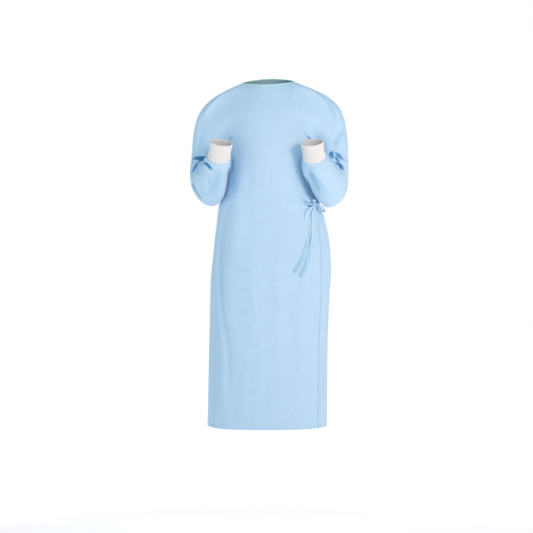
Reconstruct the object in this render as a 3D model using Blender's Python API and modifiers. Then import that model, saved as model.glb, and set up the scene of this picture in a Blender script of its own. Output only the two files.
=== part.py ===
"""A surgical gown in its worn, filled-out shape with nobody in it: three body panels, two raglan sleeves bent at the
elbow, two knit cuffs, the neck binding and the tied waist tie. Metres, +Z up, the front faces -Y and +X is the wearer's
left. The origin is the middle of the neck opening, at the height of the shoulders' neck points."""

import math
from collections import namedtuple

import bpy
import numpy as np
from mathutils import Matrix

# Driving dimensions
GOWN_LENGTH = 1.222  # neck point to hem
CLOTH = 0.0016  # wall of the gown's cloth
TIE_CLOTH = 0.0012
CUFF_CLOTH = 0.0020
GAP = 0.0003  # between pieces that touch
UNDERARM_DROP = 0.235  # neck point to underarm
NECK_FRONT_HEIGHT = -0.029  # the neckline's front and back, against its sides
NECK_BACK_HEIGHT = 0.014
NECK_FADE = 0.30  # below this drop the rings are level
SHOULDER_LEAN = 0.030  # how much the wearer's left shoulder stands higher, per metre
LEAN_FADE = 0.50
LAP = 0.0032  # how far the outer back panel stands off what it laps over
NECK_LAP = 0.0044  # and at the neck, where both edges are bound
LAP_FULL_TURN = 143  # the turn where it first stands off that far

# Grid steps. Below the underarm all the panels' columns stand on the same turns, so that they lap without crossing.
COLUMN_TURN = 7.5
RAGLAN_STEPS = 9
SKIRT_ROWS = (0.265, 0.300, 0.340, 0.380, 0.415, 0.450, 0.490, 0.540, 0.600, 0.680, 0.800, 0.940, 1.080, GOWN_LENGTH)
NECK_STEPS = 2  # from the raglan seam to the shoulder line, along the sleeve's neck edge
YOKE_STEPS = 8  # from the raglan seam to the underarm ring
ELBOW_STEPS = 12  # round the bend
FOREARM_STEPS = 5

# Horizontal rings of the body. The shift is to the wearer's left; front and back are depths from the neck's middle.
BodyRing = namedtuple("BodyRing", "drop shift half_width front back squareness")
BODY_RINGS = (
    BodyRing(0.000, -0.002, 0.087, 0.078, 0.072, 2.0),
    BodyRing(0.020, -0.002, 0.115, 0.087, 0.085, 2.0),
    BodyRing(0.060, -0.001, 0.144, 0.104, 0.104, 2.1),
    BodyRing(0.110, 0.000, 0.156, 0.122, 0.120, 2.3),
    BodyRing(0.180, 0.000, 0.156, 0.136, 0.128, 2.3),
    BodyRing(0.240, 0.000, 0.150, 0.140, 0.128, 2.2),
    BodyRing(0.300, 0.000, 0.146, 0.139, 0.125, 2.1),
    BodyRing(0.360, 0.000, 0.149, 0.136, 0.119, 2.1),
    BodyRing(0.410, -0.001, 0.163, 0.134, 0.116, 2.2),
    BodyRing(0.445, 0.000, 0.1765, 0.134, 0.115, 2.4),
    BodyRing(0.511, 0.006, 0.191, 0.137, 0.120, 2.6),
    BodyRing(0.600, 0.007, 0.202, 0.142, 0.128, 2.7),
    BodyRing(0.720, 0.004, 0.209, 0.147, 0.135, 2.7),
    BodyRing(0.900, -0.002, 0.208, 0.151, 0.141, 2.6),
    BodyRing(1.222, -0.008, 0.210, 0.156, 0.147, 2.5),
)

# The raglan seams, from the neckline to the underarm. A turn is the angle round the body from the front's middle.
RaglanPoint = namedtuple("RaglanPoint", "share drop front_turn back_turn")
RAGLAN = (
    RaglanPoint(0.00, 0.000, 58, 120),
    RaglanPoint(0.20, 0.052, 40, 136),
    RaglanPoint(0.40, 0.105, 37, 139),
    RaglanPoint(0.60, 0.158, 42, 134),
    RaglanPoint(0.80, 0.205, 58, 118),
    RaglanPoint(1.00, UNDERARM_DROP, 90, 90),
)

# The free edges of the back panels, as turns past each one's own side. The outer one wraps round to the left front.
BackEdge = namedtuple("BackEdge", "drop outer_turn inner_turn")
BACK_EDGES = (
    BackEdge(0.000, 202, 202),
    BackEdge(0.110, 212, 203),
    BackEdge(0.240, 240, 206),
    BackEdge(0.340, 268, 208),
    BackEdge(0.450, 290, 210),
    BackEdge(0.540, 299, 210),
    BackEdge(0.600, 300, 210),
    BackEdge(GOWN_LENGTH, 300, 210),
)

# Soft folds of the body: a ridge stands out by its height, a trough has a negative one. Angles in degrees.
Fold = namedtuple("Fold", "turn lean top bottom height spread")
BODY_FOLDS = (
    Fold(turn=-43, lean=-2, top=0.26, bottom=0.66, height=0.0055, spread=9),
    Fold(turn=-62, lean=0, top=0.40, bottom=0.78, height=-0.0050, spread=8),
    Fold(turn=-52, lean=3, top=0.62, bottom=1.30, height=0.0050, spread=10),
    Fold(turn=-74, lean=0, top=0.66, bottom=1.34, height=-0.0045, spread=9),
    Fold(turn=-24, lean=5, top=0.55, bottom=1.00, height=0.0030, spread=8),
    Fold(turn=8, lean=7, top=0.58, bottom=0.98, height=0.0030, spread=8),
    Fold(turn=26, lean=4, top=0.60, bottom=1.26, height=-0.0035, spread=10),
    Fold(turn=72, lean=14, top=0.47, bottom=0.76, height=0.0045, spread=9),
    Fold(turn=92, lean=4, top=0.48, bottom=1.30, height=-0.0045, spread=9),
    Fold(turn=112, lean=4, top=0.42, bottom=1.32, height=0.0060, spread=9),
    Fold(turn=134, lean=2, top=0.40, bottom=1.30, height=-0.0060, spread=9),
    Fold(turn=158, lean=-4, top=0.30, bottom=1.28, height=0.0060, spread=10),
    Fold(turn=184, lean=3, top=0.34, bottom=1.34, height=-0.0060, spread=10),
    Fold(turn=208, lean=-3, top=0.38, bottom=1.30, height=0.0060, spread=10),
    Fold(turn=232, lean=2, top=0.42, bottom=1.34, height=-0.0060, spread=9),
    Fold(turn=254, lean=0, top=0.46, bottom=1.30, height=0.0045, spread=8),
)

# The arm: a straight upper arm, a tight bend round the crook of the elbow, then a forearm that curves a little.
# Directions and places on it are outwards, back and up.
CROOK = np.array([0.206, -0.058, -0.294])
UPPER_ARM = np.array([0.060, 0.150, -0.985])
FOREARM = np.array([-0.200, -0.640, 0.740])
BEND_RADIUS = 0.080
BEND_TURN = math.radians(142)
UPPER_RUN = 0.032  # from the underarm ring to the bend
FOREARM_RUN = 0.080  # from the bend to the cuff seam
CUFF_LENGTH = 0.060
FOREARM_TURN = math.radians(20)  # how much the forearm and cuff go on turning

# Sleeve rings. The stage is 0 to 1 along the upper run, 1 to 2 round the bend and 2 to 3 along the forearm; the cuff
# goes on from 3 to 4. The half sizes are to the crook's side, away from it, to the outside and to the body.
SleeveRing = namedtuple("SleeveRing", "stage crook_side far_side outside body_side")
LEFT_RINGS = (
    SleeveRing(0.00, 0.068, 0.062, 0.055, 0.050),
    SleeveRing(1.00, 0.068, 0.066, 0.053, 0.048),
    SleeveRing(1.35, 0.066, 0.076, 0.060, 0.040),
    SleeveRing(1.65, 0.064, 0.082, 0.070, 0.038),
    SleeveRing(2.00, 0.058, 0.070, 0.071, 0.044),
    SleeveRing(2.45, 0.050, 0.054, 0.057, 0.054),
    SleeveRing(2.85, 0.041, 0.045, 0.047, 0.047),
    SleeveRing(3.00, 0.036, 0.038, 0.0405, 0.0405),
)
RIGHT_RINGS = (
    SleeveRing(0.00, 0.068, 0.062, 0.047, 0.050),
    SleeveRing(1.00, 0.068, 0.066, 0.049, 0.046),
    SleeveRing(1.35, 0.066, 0.075, 0.064, 0.040),
    SleeveRing(1.65, 0.064, 0.077, 0.067, 0.047),
    SleeveRing(2.00, 0.058, 0.066, 0.069, 0.039),
    SleeveRing(2.45, 0.050, 0.052, 0.058, 0.038),
    SleeveRing(2.85, 0.041, 0.044, 0.047, 0.043),
    SleeveRing(3.00, 0.036, 0.038, 0.0405, 0.0405),
)

# How far out the hand and the elbow are held, and how the sleeve leaves the neck and comes to the underarm ring: its
# slope at the neck, and how full it swings over the shoulder on the way out and on the way down.
Arm = namedtuple("Arm", "name side rings hand_out elbow_out slope leave arrive")
ARMS = (
    Arm("left", 1, LEFT_RINGS, -0.021, 0.000, math.radians(20), 1.80, 1.48),
    Arm("right", -1, RIGHT_RINGS, -0.004, -0.008, math.radians(21), 1.80, 1.18),
)
SEAM_REACH = 1.05  # how full it swings at the seam's front and back
UNDERARM_REACH = 1.0
UNDERARM_STEP = 0.0045  # how far the sleeve's seam stands off the body under the arm

# Creases of the sleeve, at an angle round it from the outside (0) by the crook's side (90) to the body's (180). The
# side is 1 on the wearer's left sleeve, -1 on the right and 0 on both.
Crease = namedtuple("Crease", "side stage angle slant along round height")
SLEEVE_CREASES = (
    Crease(side=0, stage=0.70, angle=60, slant=0.4, along=0.24, round=38, height=-0.0060),
    Crease(side=0, stage=1.10, angle=36, slant=-0.2, along=0.13, round=42, height=0.0065),
    Crease(side=0, stage=1.34, angle=36, slant=0.1, along=0.10, round=46, height=-0.0130),
    Crease(side=0, stage=1.52, angle=24, slant=0.1, along=0.08, round=34, height=0.0060),
    Crease(side=0, stage=1.68, angle=30, slant=0.3, along=0.08, round=40, height=-0.0080),
    Crease(side=0, stage=1.90, angle=34, slant=0.2, along=0.13, round=44, height=0.0050),
    Crease(side=1, stage=2.15, angle=52, slant=0.4, along=0.16, round=42, height=-0.0050),
    Crease(side=-1, stage=2.40, angle=-18, slant=0.9, along=0.18, round=34, height=-0.0055),
    Crease(side=-1, stage=2.72, angle=-34, slant=0.9, along=0.16, round=32, height=0.0030),
    Crease(side=1, stage=2.35, angle=-128, slant=0.6, along=0.40, round=26, height=-0.0040),
    Crease(side=-1, stage=1.72, angle=-22, slant=-0.6, along=0.15, round=30, height=-0.0045),
    Crease(side=-1, stage=1.74, angle=-38, slant=0.0, along=0.25, round=26, height=-0.0055),
    Crease(side=1, stage=1.75, angle=-115, slant=0.0, along=0.20, round=22, height=-0.0055),
    Crease(side=0, stage=1.30, angle=-96, slant=0.5, along=0.20, round=44, height=-0.0040),
    Crease(side=0, stage=0.60, angle=-70, slant=-0.6, along=0.30, round=40, height=-0.0045),
)

# Cuff: a rib knit tube
CUFF_RIBS = 32
RIB_HEIGHT = 0.0005
CUFF_SHARES = (0.006, 0.45, 1.0)
CuffRing = namedtuple("CuffRing", "share crook_side far_side outside body_side")
CUFF_RINGS = (
    CuffRing(0.00, 0.0345, 0.0365, 0.0385, 0.0385),
    CuffRing(0.40, 0.0325, 0.0340, 0.0365, 0.0365),
    CuffRing(1.00, 0.0325, 0.0340, 0.0375, 0.0375),
)

# Neck binding: a strip folded over the neck edge
BINDING_CLOTH = 0.0008
BINDING_DEPTH = 0.0062  # how far it reaches down the cloth
BINDING_TOP = 0.0011
BINDING_CLEAR = 0.0010  # between it and the cloth on each side, for the seams inside it

# Waist tie
TIE_WIDTH = 0.0095
KNOT_TURN = 60.5
KNOT_DROP = 0.4446
KNOT_SIZE = (0.015, 0.010, 0.016)  # round the body, out from it, up
KNOT_LIFT = LAP + CLOTH / 2 + GAP + KNOT_SIZE[1] / 2
STRAP_REST = CLOTH / 2 + GAP + TIE_CLOTH / 2  # a strap's middle above the middle of the cloth that it lies on
PINCH = 0.5  # a strap's width where the knot gathers it, against its full width
Strap = namedtuple("Strap", "name sewn_turn sewn_drop rest side")
STRAPS = (
    Strap("tie_front", 46, 0.439, STRAP_REST + 0.0003, -1),  # sewn to the front panel
    Strap("tie_back", 79, 0.456, STRAP_REST + LAP + 0.0003, 1),  # sewn to the outer back panel
)
STRAP_STEPS = 6
STRAP_SINK = 0.0030  # how far behind the knot's middle the straps reach it
TAIL_REST = STRAP_REST + 0.0009
TiePoint = namedtuple("TiePoint", "share out drop lift")
FRONT_TAIL = (
    TiePoint(0.00, 0.150, 0.458, 0.0070),
    TiePoint(0.09, 0.137, 0.468, 0.0030),
    TiePoint(0.18, 0.1285, 0.486, TAIL_REST),
    TiePoint(0.32, 0.1285, 0.520, TAIL_REST),
    TiePoint(0.52, 0.1325, 0.570, TAIL_REST),
    TiePoint(0.70, 0.1215, 0.613, TAIL_REST),
    TiePoint(0.86, 0.106, 0.652, 0.0032),
    TiePoint(1.00, 0.086, 0.680, 0.0060),
)
SIDE_TAIL = (
    TiePoint(0.00, 0.158, 0.458, 0.0100),
    TiePoint(0.08, 0.151, 0.472, 0.0040),
    TiePoint(0.18, 0.1475, 0.492, TAIL_REST),
    TiePoint(0.40, 0.148, 0.548, TAIL_REST),
    TiePoint(0.58, 0.1425, 0.594, TAIL_REST),
    TiePoint(0.76, 0.131, 0.638, TAIL_REST),
    TiePoint(0.90, 0.120, 0.672, 0.0032),
    TiePoint(1.00, 0.108, 0.696, 0.0060),
)
TAIL_STEPS = 16
ROOT_DOWN = 0.0027  # how far below, aside and forward each tail leaves the knot
ROOT_ASIDE = 0.0032
ROOT_FORWARD = 0.0018
Loop = namedtuple("Loop", "name length round_share down_share out_share from_side")
BOW_LOOPS = (
    Loop("tie_loop_side", 0.044, 0.60, 0.77, 0.26, True),
    Loop("tie_loop_up", 0.010, -0.90, -0.35, 0.80, False),
)
LOOP_FORWARD = 0.0020  # how far in front of the knot's middle its loops leave it
LOOP_STEPS = 12
LOOP_BOW = 0.0075  # how far a loop's two layers bow apart
LOOP_ROOT = 0.0011  # half the distance of its two layers at the knot

Colour = namedtuple("Colour", "name red green blue roughness")
CLOTH_COLOUR = Colour("blue_cloth", 0.35, 0.62, 0.84, 0.75)
TIE_COLOUR = Colour("blue_tie", 0.38, 0.65, 0.87, 0.7)
KNIT_COLOUR = Colour("white_knit", 0.86, 0.87, 0.86, 0.9)
BINDING_COLOUR = Colour("mint_binding", 0.60, 0.93, 0.84, 0.6)


def ease(share):
    """0 to 1 with a soft start and end."""
    share = np.clip(share, 0.0, 1.0)
    return share * share * (3 - 2 * share)


def along(table, key, name, at):
    """A smooth curve through one column of a table, read at values of its key column, with no overshoot."""
    x = np.array([getattr(row, key) for row in table], float)
    y = np.array([getattr(row, name) for row in table], float)
    steps = np.diff(x)
    slopes = np.diff(y) / steps
    before, after = slopes[:-1], slopes[1:]
    same_way = before * after > 0
    middle = np.where(same_way, 2 * before * after / np.where(same_way, before + after, 1), 0)
    tangents = np.concatenate([slopes[:1], middle, slopes[-1:]])
    at = np.clip(np.asarray(at, float), x[0], x[-1])
    i = np.clip(np.searchsorted(x, at, side="right") - 1, 0, len(x) - 2)
    h = steps[i]
    s = (at - x[i]) / h
    return hermite(y[i], h * tangents[i], y[i + 1], h * tangents[i + 1], s)


def hermite(start, leave, end, arrive, s):
    """A cubic from start to end, with the tangents leave and arrive."""
    rise = s * s * (3 - 2 * s)
    return start * (1 - rise) + leave * s * (1 - s) ** 2 + end * rise + arrive * s * s * (s - 1)


def unit(vector):
    return vector / np.linalg.norm(vector, axis=-1, keepdims=True)


def angle_between(first, second):
    """Difference of two turns in degrees, from -180 to 180."""
    return (first - second + 180) % 360 - 180


def drape(turn, drop):
    """Height of the body's folds at a turn in degrees and a drop in metres."""
    height = np.zeros(np.broadcast(turn, drop).shape)
    for fold in BODY_FOLDS:
        share = (drop - fold.top) / (fold.bottom - fold.top)
        window = ease(share * 3) * ease((1 - share) * 3)
        away = angle_between(turn, fold.turn + fold.lean * share) / fold.spread
        height += fold.height * window * np.exp(-away * away)
    return height


def body_point(turn, drop, stand_off=0.0):
    """Point of the body's surface at a turn in degrees and a drop in metres: a ring with rounded corners."""
    turn, drop = np.broadcast_arrays(np.asarray(turn, float), np.asarray(drop, float))
    sine, cosine = np.sin(np.radians(turn)), np.cos(np.radians(turn))
    front, back = (along(BODY_RINGS, "drop", name, drop) for name in ("front", "back"))
    depth = np.where(cosine > 0, front, back)
    power = along(BODY_RINGS, "drop", "squareness", drop)
    across = np.abs(sine) / along(BODY_RINGS, "drop", "half_width", drop)
    radius = (across**power + (np.abs(cosine) / depth) ** power) ** (-1 / power)
    radius = radius + drape(turn, drop) + stand_off
    x = radius * sine + along(BODY_RINGS, "drop", "shift", drop)
    neckline = NECK_FRONT_HEIGHT + (NECK_BACK_HEIGHT - NECK_FRONT_HEIGHT) * (1 - cosine) / 2
    lean = SHOULDER_LEAN * x * (1 - ease(drop / LEAN_FADE))
    z = neckline * (1 - ease(drop / NECK_FADE)) + lean - drop
    return np.stack([x, -radius * cosine, z], axis=-1)


def surface_frame(turn, drop):
    """Point, outward normal, downward way and way round of the body's surface."""
    point = body_point(turn, drop)
    round_way = unit(body_point(turn + 0.5, drop) - point)
    down_way = unit(body_point(turn, drop + 0.003) - point)
    return point, unit(np.cross(down_way, round_way)), down_way, round_way


def turn_at(out, drop):
    """The turn at which the front of the body is this far out, found by halving."""
    low, high = 0.0, 90.0
    for _ in range(30):
        middle = (low + high) / 2
        if body_point(middle, drop)[0] < out:
            low = middle
        else:
            high = middle
    return (low + high) / 2


def seam_inset(drop):
    """Half the gap at a seam, in degrees round the body."""
    return np.degrees(GAP / 2 / along(BODY_RINGS, "drop", "half_width", drop))


def panel_rows(edge_name):
    """The drops at the middle and at the seam of each row, and the seam's turn, from the neckline to the hem."""
    raglan_share = np.linspace(0, 1, RAGLAN_STEPS + 1)
    seam_drop = np.concatenate([along(RAGLAN, "share", "drop", raglan_share), SKIRT_ROWS])
    turns = np.concatenate([along(RAGLAN, "share", edge_name, raglan_share), np.full(len(SKIRT_ROWS), 90.0)])
    middle_drop = np.concatenate([raglan_share * UNDERARM_DROP, SKIRT_ROWS])
    return middle_drop, seam_drop, turns


def front_grid():
    middle_drop, seam_drop, turns = panel_rows("front_turn")
    share = np.linspace(-1, 1, round(180 / COLUMN_TURN) + 1)[None, :]
    turn = share * (turns - seam_inset(seam_drop))[:, None]
    drop = middle_drop[:, None] + (seam_drop - middle_drop)[:, None] * ease(np.abs(share))
    return body_point(turn, drop)


def outer_lap(drop):
    return LAP + (NECK_LAP - LAP) * (1 - ease(drop / 0.08))


def no_lap(drop):
    return 0.0 * drop


def back_grid(side, edge_name, lap):
    """A back panel from its own side seam, past the back's middle, to its free edge. A lap stands off what is under it."""
    middle_drop, seam_drop, turns = panel_rows("back_turn")
    far = along(BACK_EDGES, "drop", edge_name, middle_drop)[:, None]
    share = np.linspace(0, 1, round((far[-1, 0] - 90) / COLUMN_TURN) + 1)[None, :]
    start = (turns + seam_inset(seam_drop))[:, None]
    turn = start + (far - start) * share
    drop = seam_drop[:, None] + (middle_drop - seam_drop)[:, None] * ease(share * 2)
    lift = lap(drop) * ease((turn - start) / (LAP_FULL_TURN - start))
    return body_point(side * turn, drop, lift)


def arm_frames(stage):
    """Centre of the arm at each stage, the way from the crook to it, and the way to the outside."""
    upper = unit(UPPER_ARM)
    outside = unit(np.cross(FOREARM, upper))
    ahead = np.cross(upper, outside)  # square to the upper arm, from it to the crook
    bend = BEND_TURN * np.clip(stage - 1, 0, 1)[..., None]
    full_run = FOREARM_RUN + CUFF_LENGTH
    run = FOREARM_RUN * np.clip(stage - 2, 0, 1) + CUFF_LENGTH * np.clip(stage - 3, 0, 1)
    turn = bend + FOREARM_TURN * (run / full_run)[..., None]
    from_crook = upper * np.sin(turn) - ahead * np.cos(turn)
    at_bend = upper * np.sin(bend) - ahead * np.cos(bend)
    soft_radius = full_run / FOREARM_TURN
    centre = CROOK + BEND_RADIUS * at_bend + soft_radius * (from_crook - at_bend)
    return centre - upper * (UPPER_RUN * np.clip(1 - stage, 0, 1))[..., None], from_crook, outside


def tube_rings(stages, angles, sizes, arm):
    """Rings of the bent arm: at angle 0 a ring's point is outside, at 90 on the crook's side, at 180 at the body."""
    centre, from_crook, outside = arm_frames(stages)
    hand = arm.hand_out * np.clip(stages - 1, 0, 2) / 2
    elbow = arm.elbow_out * np.exp(-(((stages - 1.6) / 0.5) ** 2))
    centre = centre + (hand + elbow)[:, None] * np.array([1.0, 0.0, 0.0])
    cosine, sine = np.cos(np.radians(angles)), np.sin(np.radians(angles))
    crook_side, far_side, outer, inner = (size[:, None] for size in sizes)
    sideways = (np.where(cosine > 0, outer, inner) * cosine)[..., None] * outside
    forwards = (np.where(sine > 0, crook_side, far_side) * sine)[..., None] * from_crook[:, None, :]
    return centre[:, None, :] + sideways - forwards


def ring_sizes(table, key, at):
    return [along(table, key, name, at) for name in ("crook_side", "far_side", "outside", "body_side")]


def mirrored(points, side):
    """Points or ways given outwards, back and up, on the wearer's left (1) or right (-1)."""
    return np.asarray(points, float) * np.array([side, 1.0, 1.0])


def crease_height(side, stage, angle):
    height = np.zeros(np.broadcast(stage, angle).shape)
    for crease in SLEEVE_CREASES:
        if crease.side == -side:
            continue
        away_round = angle_between(angle, crease.angle) / crease.round
        away_along = (stage - crease.stage) / crease.along - crease.slant * away_round
        height += crease.height * np.exp(-(away_round**2) - away_along**2)
    return height


def raglan_half(arm, edge_name, sign):
    """Half of the sleeve's seam from the shoulder line to the underarm, and the way the cloth leaves it."""
    side = arm.side
    share = np.linspace(0, 1, RAGLAN_STEPS + 1)
    drop = along(RAGLAN, "share", "drop", share)
    turns = along(RAGLAN, "share", edge_name, share)
    neck_turn = 90 + (turns[0] - 90) * np.arange(NECK_STEPS) / NECK_STEPS
    turn = np.concatenate([neck_turn, turns + sign * seam_inset(drop)])
    drop = np.concatenate([np.zeros(NECK_STEPS), drop])
    place, _, _, round_way = surface_frame(side * turn, drop)
    level, fall = math.cos(arm.slope), math.sin(arm.slope)
    angle = np.radians(turn)
    from_neck = np.stack([level * np.sin(angle), -level * np.cos(angle), np.full_like(angle, -fall)], axis=-1)
    from_neck = mirrored(from_neck, side)
    from_underarm = mirrored([0.75, 0.0, -0.66], side)
    count = np.arange(len(turn))
    neck_share = ease((NECK_STEPS + 2 - count) / 3)[:, None]
    under_share = ease((count - (len(turn) - 5)) / 4)[:, None]
    way = from_neck * neck_share + side * sign * round_way * (1 - neck_share)
    way = unit(way * (1 - under_share) + from_underarm * under_share)
    return place + under_share * mirrored([UNDERARM_STEP, 0.0, 0.0], side), way


def reach(shoulder, level):
    """A reach round the sleeve: over the shoulder (level 0), at the seam's front and back (1), and underneath (2)."""
    return shoulder + (SEAM_REACH - shoulder) * ease(level) + (UNDERARM_REACH - SEAM_REACH) * ease(level - 1)


def sleeve_grid(arm):
    """A raglan sleeve: a yoke from the seam's loop to the underarm ring, then rings round the elbow to the cuff."""
    half = np.linspace(0, 180, NECK_STEPS + RAGLAN_STEPS + 1)
    angles = np.concatenate([half, 360 - half[-2:0:-1]])
    bend = 1 + np.linspace(0, 1, ELBOW_STEPS + 1)
    forearm = 2 + np.linspace(0, 1, FOREARM_STEPS + 1)[1:]
    stages = np.concatenate([[0.0, 0.5], bend, forearm])
    rings = tube_rings(stages, angles, ring_sizes(arm.rings, "stage", stages), arm)
    outward = unit(rings - rings.mean(axis=1, keepdims=True))
    rings = mirrored(rings + outward * crease_height(arm.side, stages[:, None], angles)[..., None], arm.side)
    front, front_way = raglan_half(arm, "front_turn", 1)
    back, back_way = raglan_half(arm, "back_turn", -1)
    loop = np.concatenate([front, back[-2:0:-1]])
    way = np.concatenate([front_way, back_way[-2:0:-1]])
    first = rings[0]
    chord = np.linalg.norm(first - loop, axis=1, keepdims=True)
    level = np.abs(angle_between(angles, 0))[:, None] / 90
    leave = way * chord * reach(arm.leave, level)
    arrive = mirrored(unit(UPPER_ARM), arm.side) * chord * reach(arm.arrive, level)
    s = np.linspace(0, 1, YOKE_STEPS + 1)[:-1, None, None]
    return np.concatenate([hermite(loop, leave, first, arrive, s), rings])


def grid_faces(rows, columns, round_it):
    """Quads of a grid of points, with its last column joined to the first where it goes all round."""
    index = np.arange(rows * columns).reshape(rows, columns)
    if round_it:
        index = np.concatenate([index, index[:, :1]], axis=1)
    corners = [index[:-1, :-1], index[1:, :-1], index[1:, 1:], index[:-1, 1:]]
    return np.stack(corners, axis=-1).reshape(-1, 4).tolist()


def new_mesh(name, points, faces, flip):
    mesh = bpy.data.meshes.new(name)
    if flip:
        faces = [face[::-1] for face in faces]
    mesh.from_pydata(points.reshape(-1, 3).tolist(), [], faces)
    return mesh


def cloth_wall(name, points, thickness, colour, round_it=False, flip=False):
    """An open surface through a grid of points, thickened into a wall on both sides of it."""
    faces = grid_faces(*points.shape[:2], round_it)
    piece = new_piece(name, new_mesh(name, points, faces, flip), colour)
    wall = piece.modifiers.new("wall", "SOLIDIFY")
    wall.thickness = thickness
    wall.offset = 0
    wall.use_even_offset = True
    return piece


def cuff(arm):
    """A rib knit tube on the sleeve's end, ribbed outside and plain inside."""
    shares = np.array(CUFF_SHARES)
    angles = np.linspace(0, 360, 2 * CUFF_RIBS, endpoint=False)
    middle = tube_rings(3 + shares, angles, ring_sizes(CUFF_RINGS, "share", shares), arm)
    outward = unit(middle - middle.mean(axis=1, keepdims=True))
    ribs = np.where(np.arange(2 * CUFF_RIBS) % 2 == 0, RIB_HEIGHT, -RIB_HEIGHT)[None, :, None]
    outer = middle + outward * (CUFF_CLOTH / 2 + ribs)
    inner = middle - outward * CUFF_CLOTH / 2
    skin = mirrored(np.concatenate([outer, inner[::-1], outer[:1]]), arm.side)
    rows, columns = 2 * len(shares), len(angles)
    faces = np.array(grid_faces(rows + 1, columns, True)) % (rows * columns)
    name = "cuff_" + arm.name
    new_piece(name, new_mesh(name, skin[:-1], faces.tolist(), arm.side > 0), KNIT_COLOUR)


def neck_binding(front, outer_back, inner_back, left_sleeve, right_sleeve):
    """A strip folded over the neck edge: an upside-down U carried along the panels' own top edges."""
    half = NECK_STEPS
    stretches = (
        outer_back[:2, ::-1],
        right_sleeve[:2, -half:],
        right_sleeve[:2, : half + 1],
        front[:2],
        left_sleeve[:2, half::-1],
        left_sleeve[:2, : -half - 1 : -1],
        inner_back[:2],
    )
    edge, below = np.concatenate(stretches, axis=1)
    down = unit(below - edge)
    out = unit(np.cross(unit(np.gradient(edge, axis=0)), down))
    inside = CLOTH / 2 + BINDING_CLEAR
    outside = inside + BINDING_CLOTH
    profile = np.array(
        [
            (outside, BINDING_DEPTH),
            (outside, -BINDING_TOP),
            (-outside, -BINDING_TOP),
            (-outside, BINDING_DEPTH),
            (-inside, BINDING_DEPTH),
            (-inside, -GAP),
            (inside, -GAP),
            (inside, BINDING_DEPTH),
        ]
    )
    rings = edge[:, None, :] + profile[:, :1] * out[:, None, :] + profile[:, 1:] * down[:, None, :]
    count, around = rings.shape[:2]
    ends = [list(range(around)), list(range(count * around - 1, (count - 1) * around - 1, -1))]
    faces = grid_faces(count, around, True) + ends
    return new_piece("neck_binding", new_mesh("neck_binding", rings, faces, True), BINDING_COLOUR)


def on_panel(turn, drop, lift):
    """Points on the flat facets of the panels below the underarm, moved out by a lift, and the ways there."""
    turn, drop, lift = (np.asarray(value, float) for value in (turn, drop, lift))
    rows = np.array((UNDERARM_DROP, *SKIRT_ROWS))
    low = np.floor(turn / COLUMN_TURN) * COLUMN_TURN
    row = np.clip(np.searchsorted(rows, drop, side="right") - 1, 0, len(rows) - 2)
    across = ((turn - low) / COLUMN_TURN)[..., None]
    down = ((drop - rows[row]) / (rows[row + 1] - rows[row]))[..., None]
    top, top_next = body_point(low, rows[row]), body_point(low + COLUMN_TURN, rows[row])
    foot, foot_next = body_point(low, rows[row + 1]), body_point(low + COLUMN_TURN, rows[row + 1])
    point = (top * (1 - across) + top_next * across) * (1 - down) + (foot * (1 - across) + foot_next * across) * down
    round_way = unit((top_next - top) * (1 - down) + (foot_next - foot) * down)
    down_way = unit((foot - top) * (1 - across) + (foot_next - top_next) * across)
    out = unit(np.cross(down_way, round_way))
    return point + out * lift[..., None], out, down_way, round_way


def ribbon(name, centre, across, width):
    """A strip of tie cloth along a line of centres, as wide as given at each, thickened into a wall."""
    half = across * (TIE_WIDTH / 2 * width)[:, None]
    return cloth_wall(name, np.stack([centre - half, centre + half], axis=1), TIE_CLOTH, TIE_COLOUR)


def knot_frame():
    """The knot's middle, and the ways out, down and round the body there."""
    middle, out, down, _ = on_panel(KNOT_TURN, KNOT_DROP, KNOT_LIFT)
    return middle, out, down, unit(np.cross(out, down))


def strap(row):
    """A strap from where it is sewn on, along the body, up to the knot's side."""
    middle, out, _, round_way = knot_frame()
    share = np.linspace(0, 1, STRAP_STEPS + 1)
    turn = row.sewn_turn + (KNOT_TURN - row.sewn_turn) * share
    drop = row.sewn_drop + (KNOT_DROP - row.sewn_drop) * share
    centre, _, down, _ = on_panel(turn, drop, np.full_like(turn, row.rest))
    target = middle + row.side * round_way * (KNOT_SIZE[0] / 2 + GAP) - out * STRAP_SINK
    near = ease((share - 0.4) / 0.6)
    centre = centre + (target - centre[-1]) * near[:, None]
    return ribbon(row.name, centre, down, 1 - (1 - PINCH) * near)


def tail(name, route, aside, forward):
    """A loose end of the bow, from under the knot down the skirt, through a short table of places."""
    middle, out, down, round_way = knot_frame()
    s = np.linspace(0, 1, TAIL_STEPS) ** 1.3
    outs, drops, lifts = (along(route, "share", column, s) for column in ("out", "drop", "lift"))
    turn = np.array([turn_at(*place) for place in zip(outs, drops)])
    centre, normal, _, _ = on_panel(turn, drops, lifts)
    root = middle + down * (KNOT_SIZE[2] / 2 + ROOT_DOWN) + round_way * aside + out * forward
    free = ease(s / 0.10)
    centre = centre + (root - centre[0]) * (1 - free)[:, None]
    across = unit(np.cross(unit(np.gradient(centre, axis=0)), normal))
    return ribbon(name, centre, across, PINCH + (1 - PINCH) * free)


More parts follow.
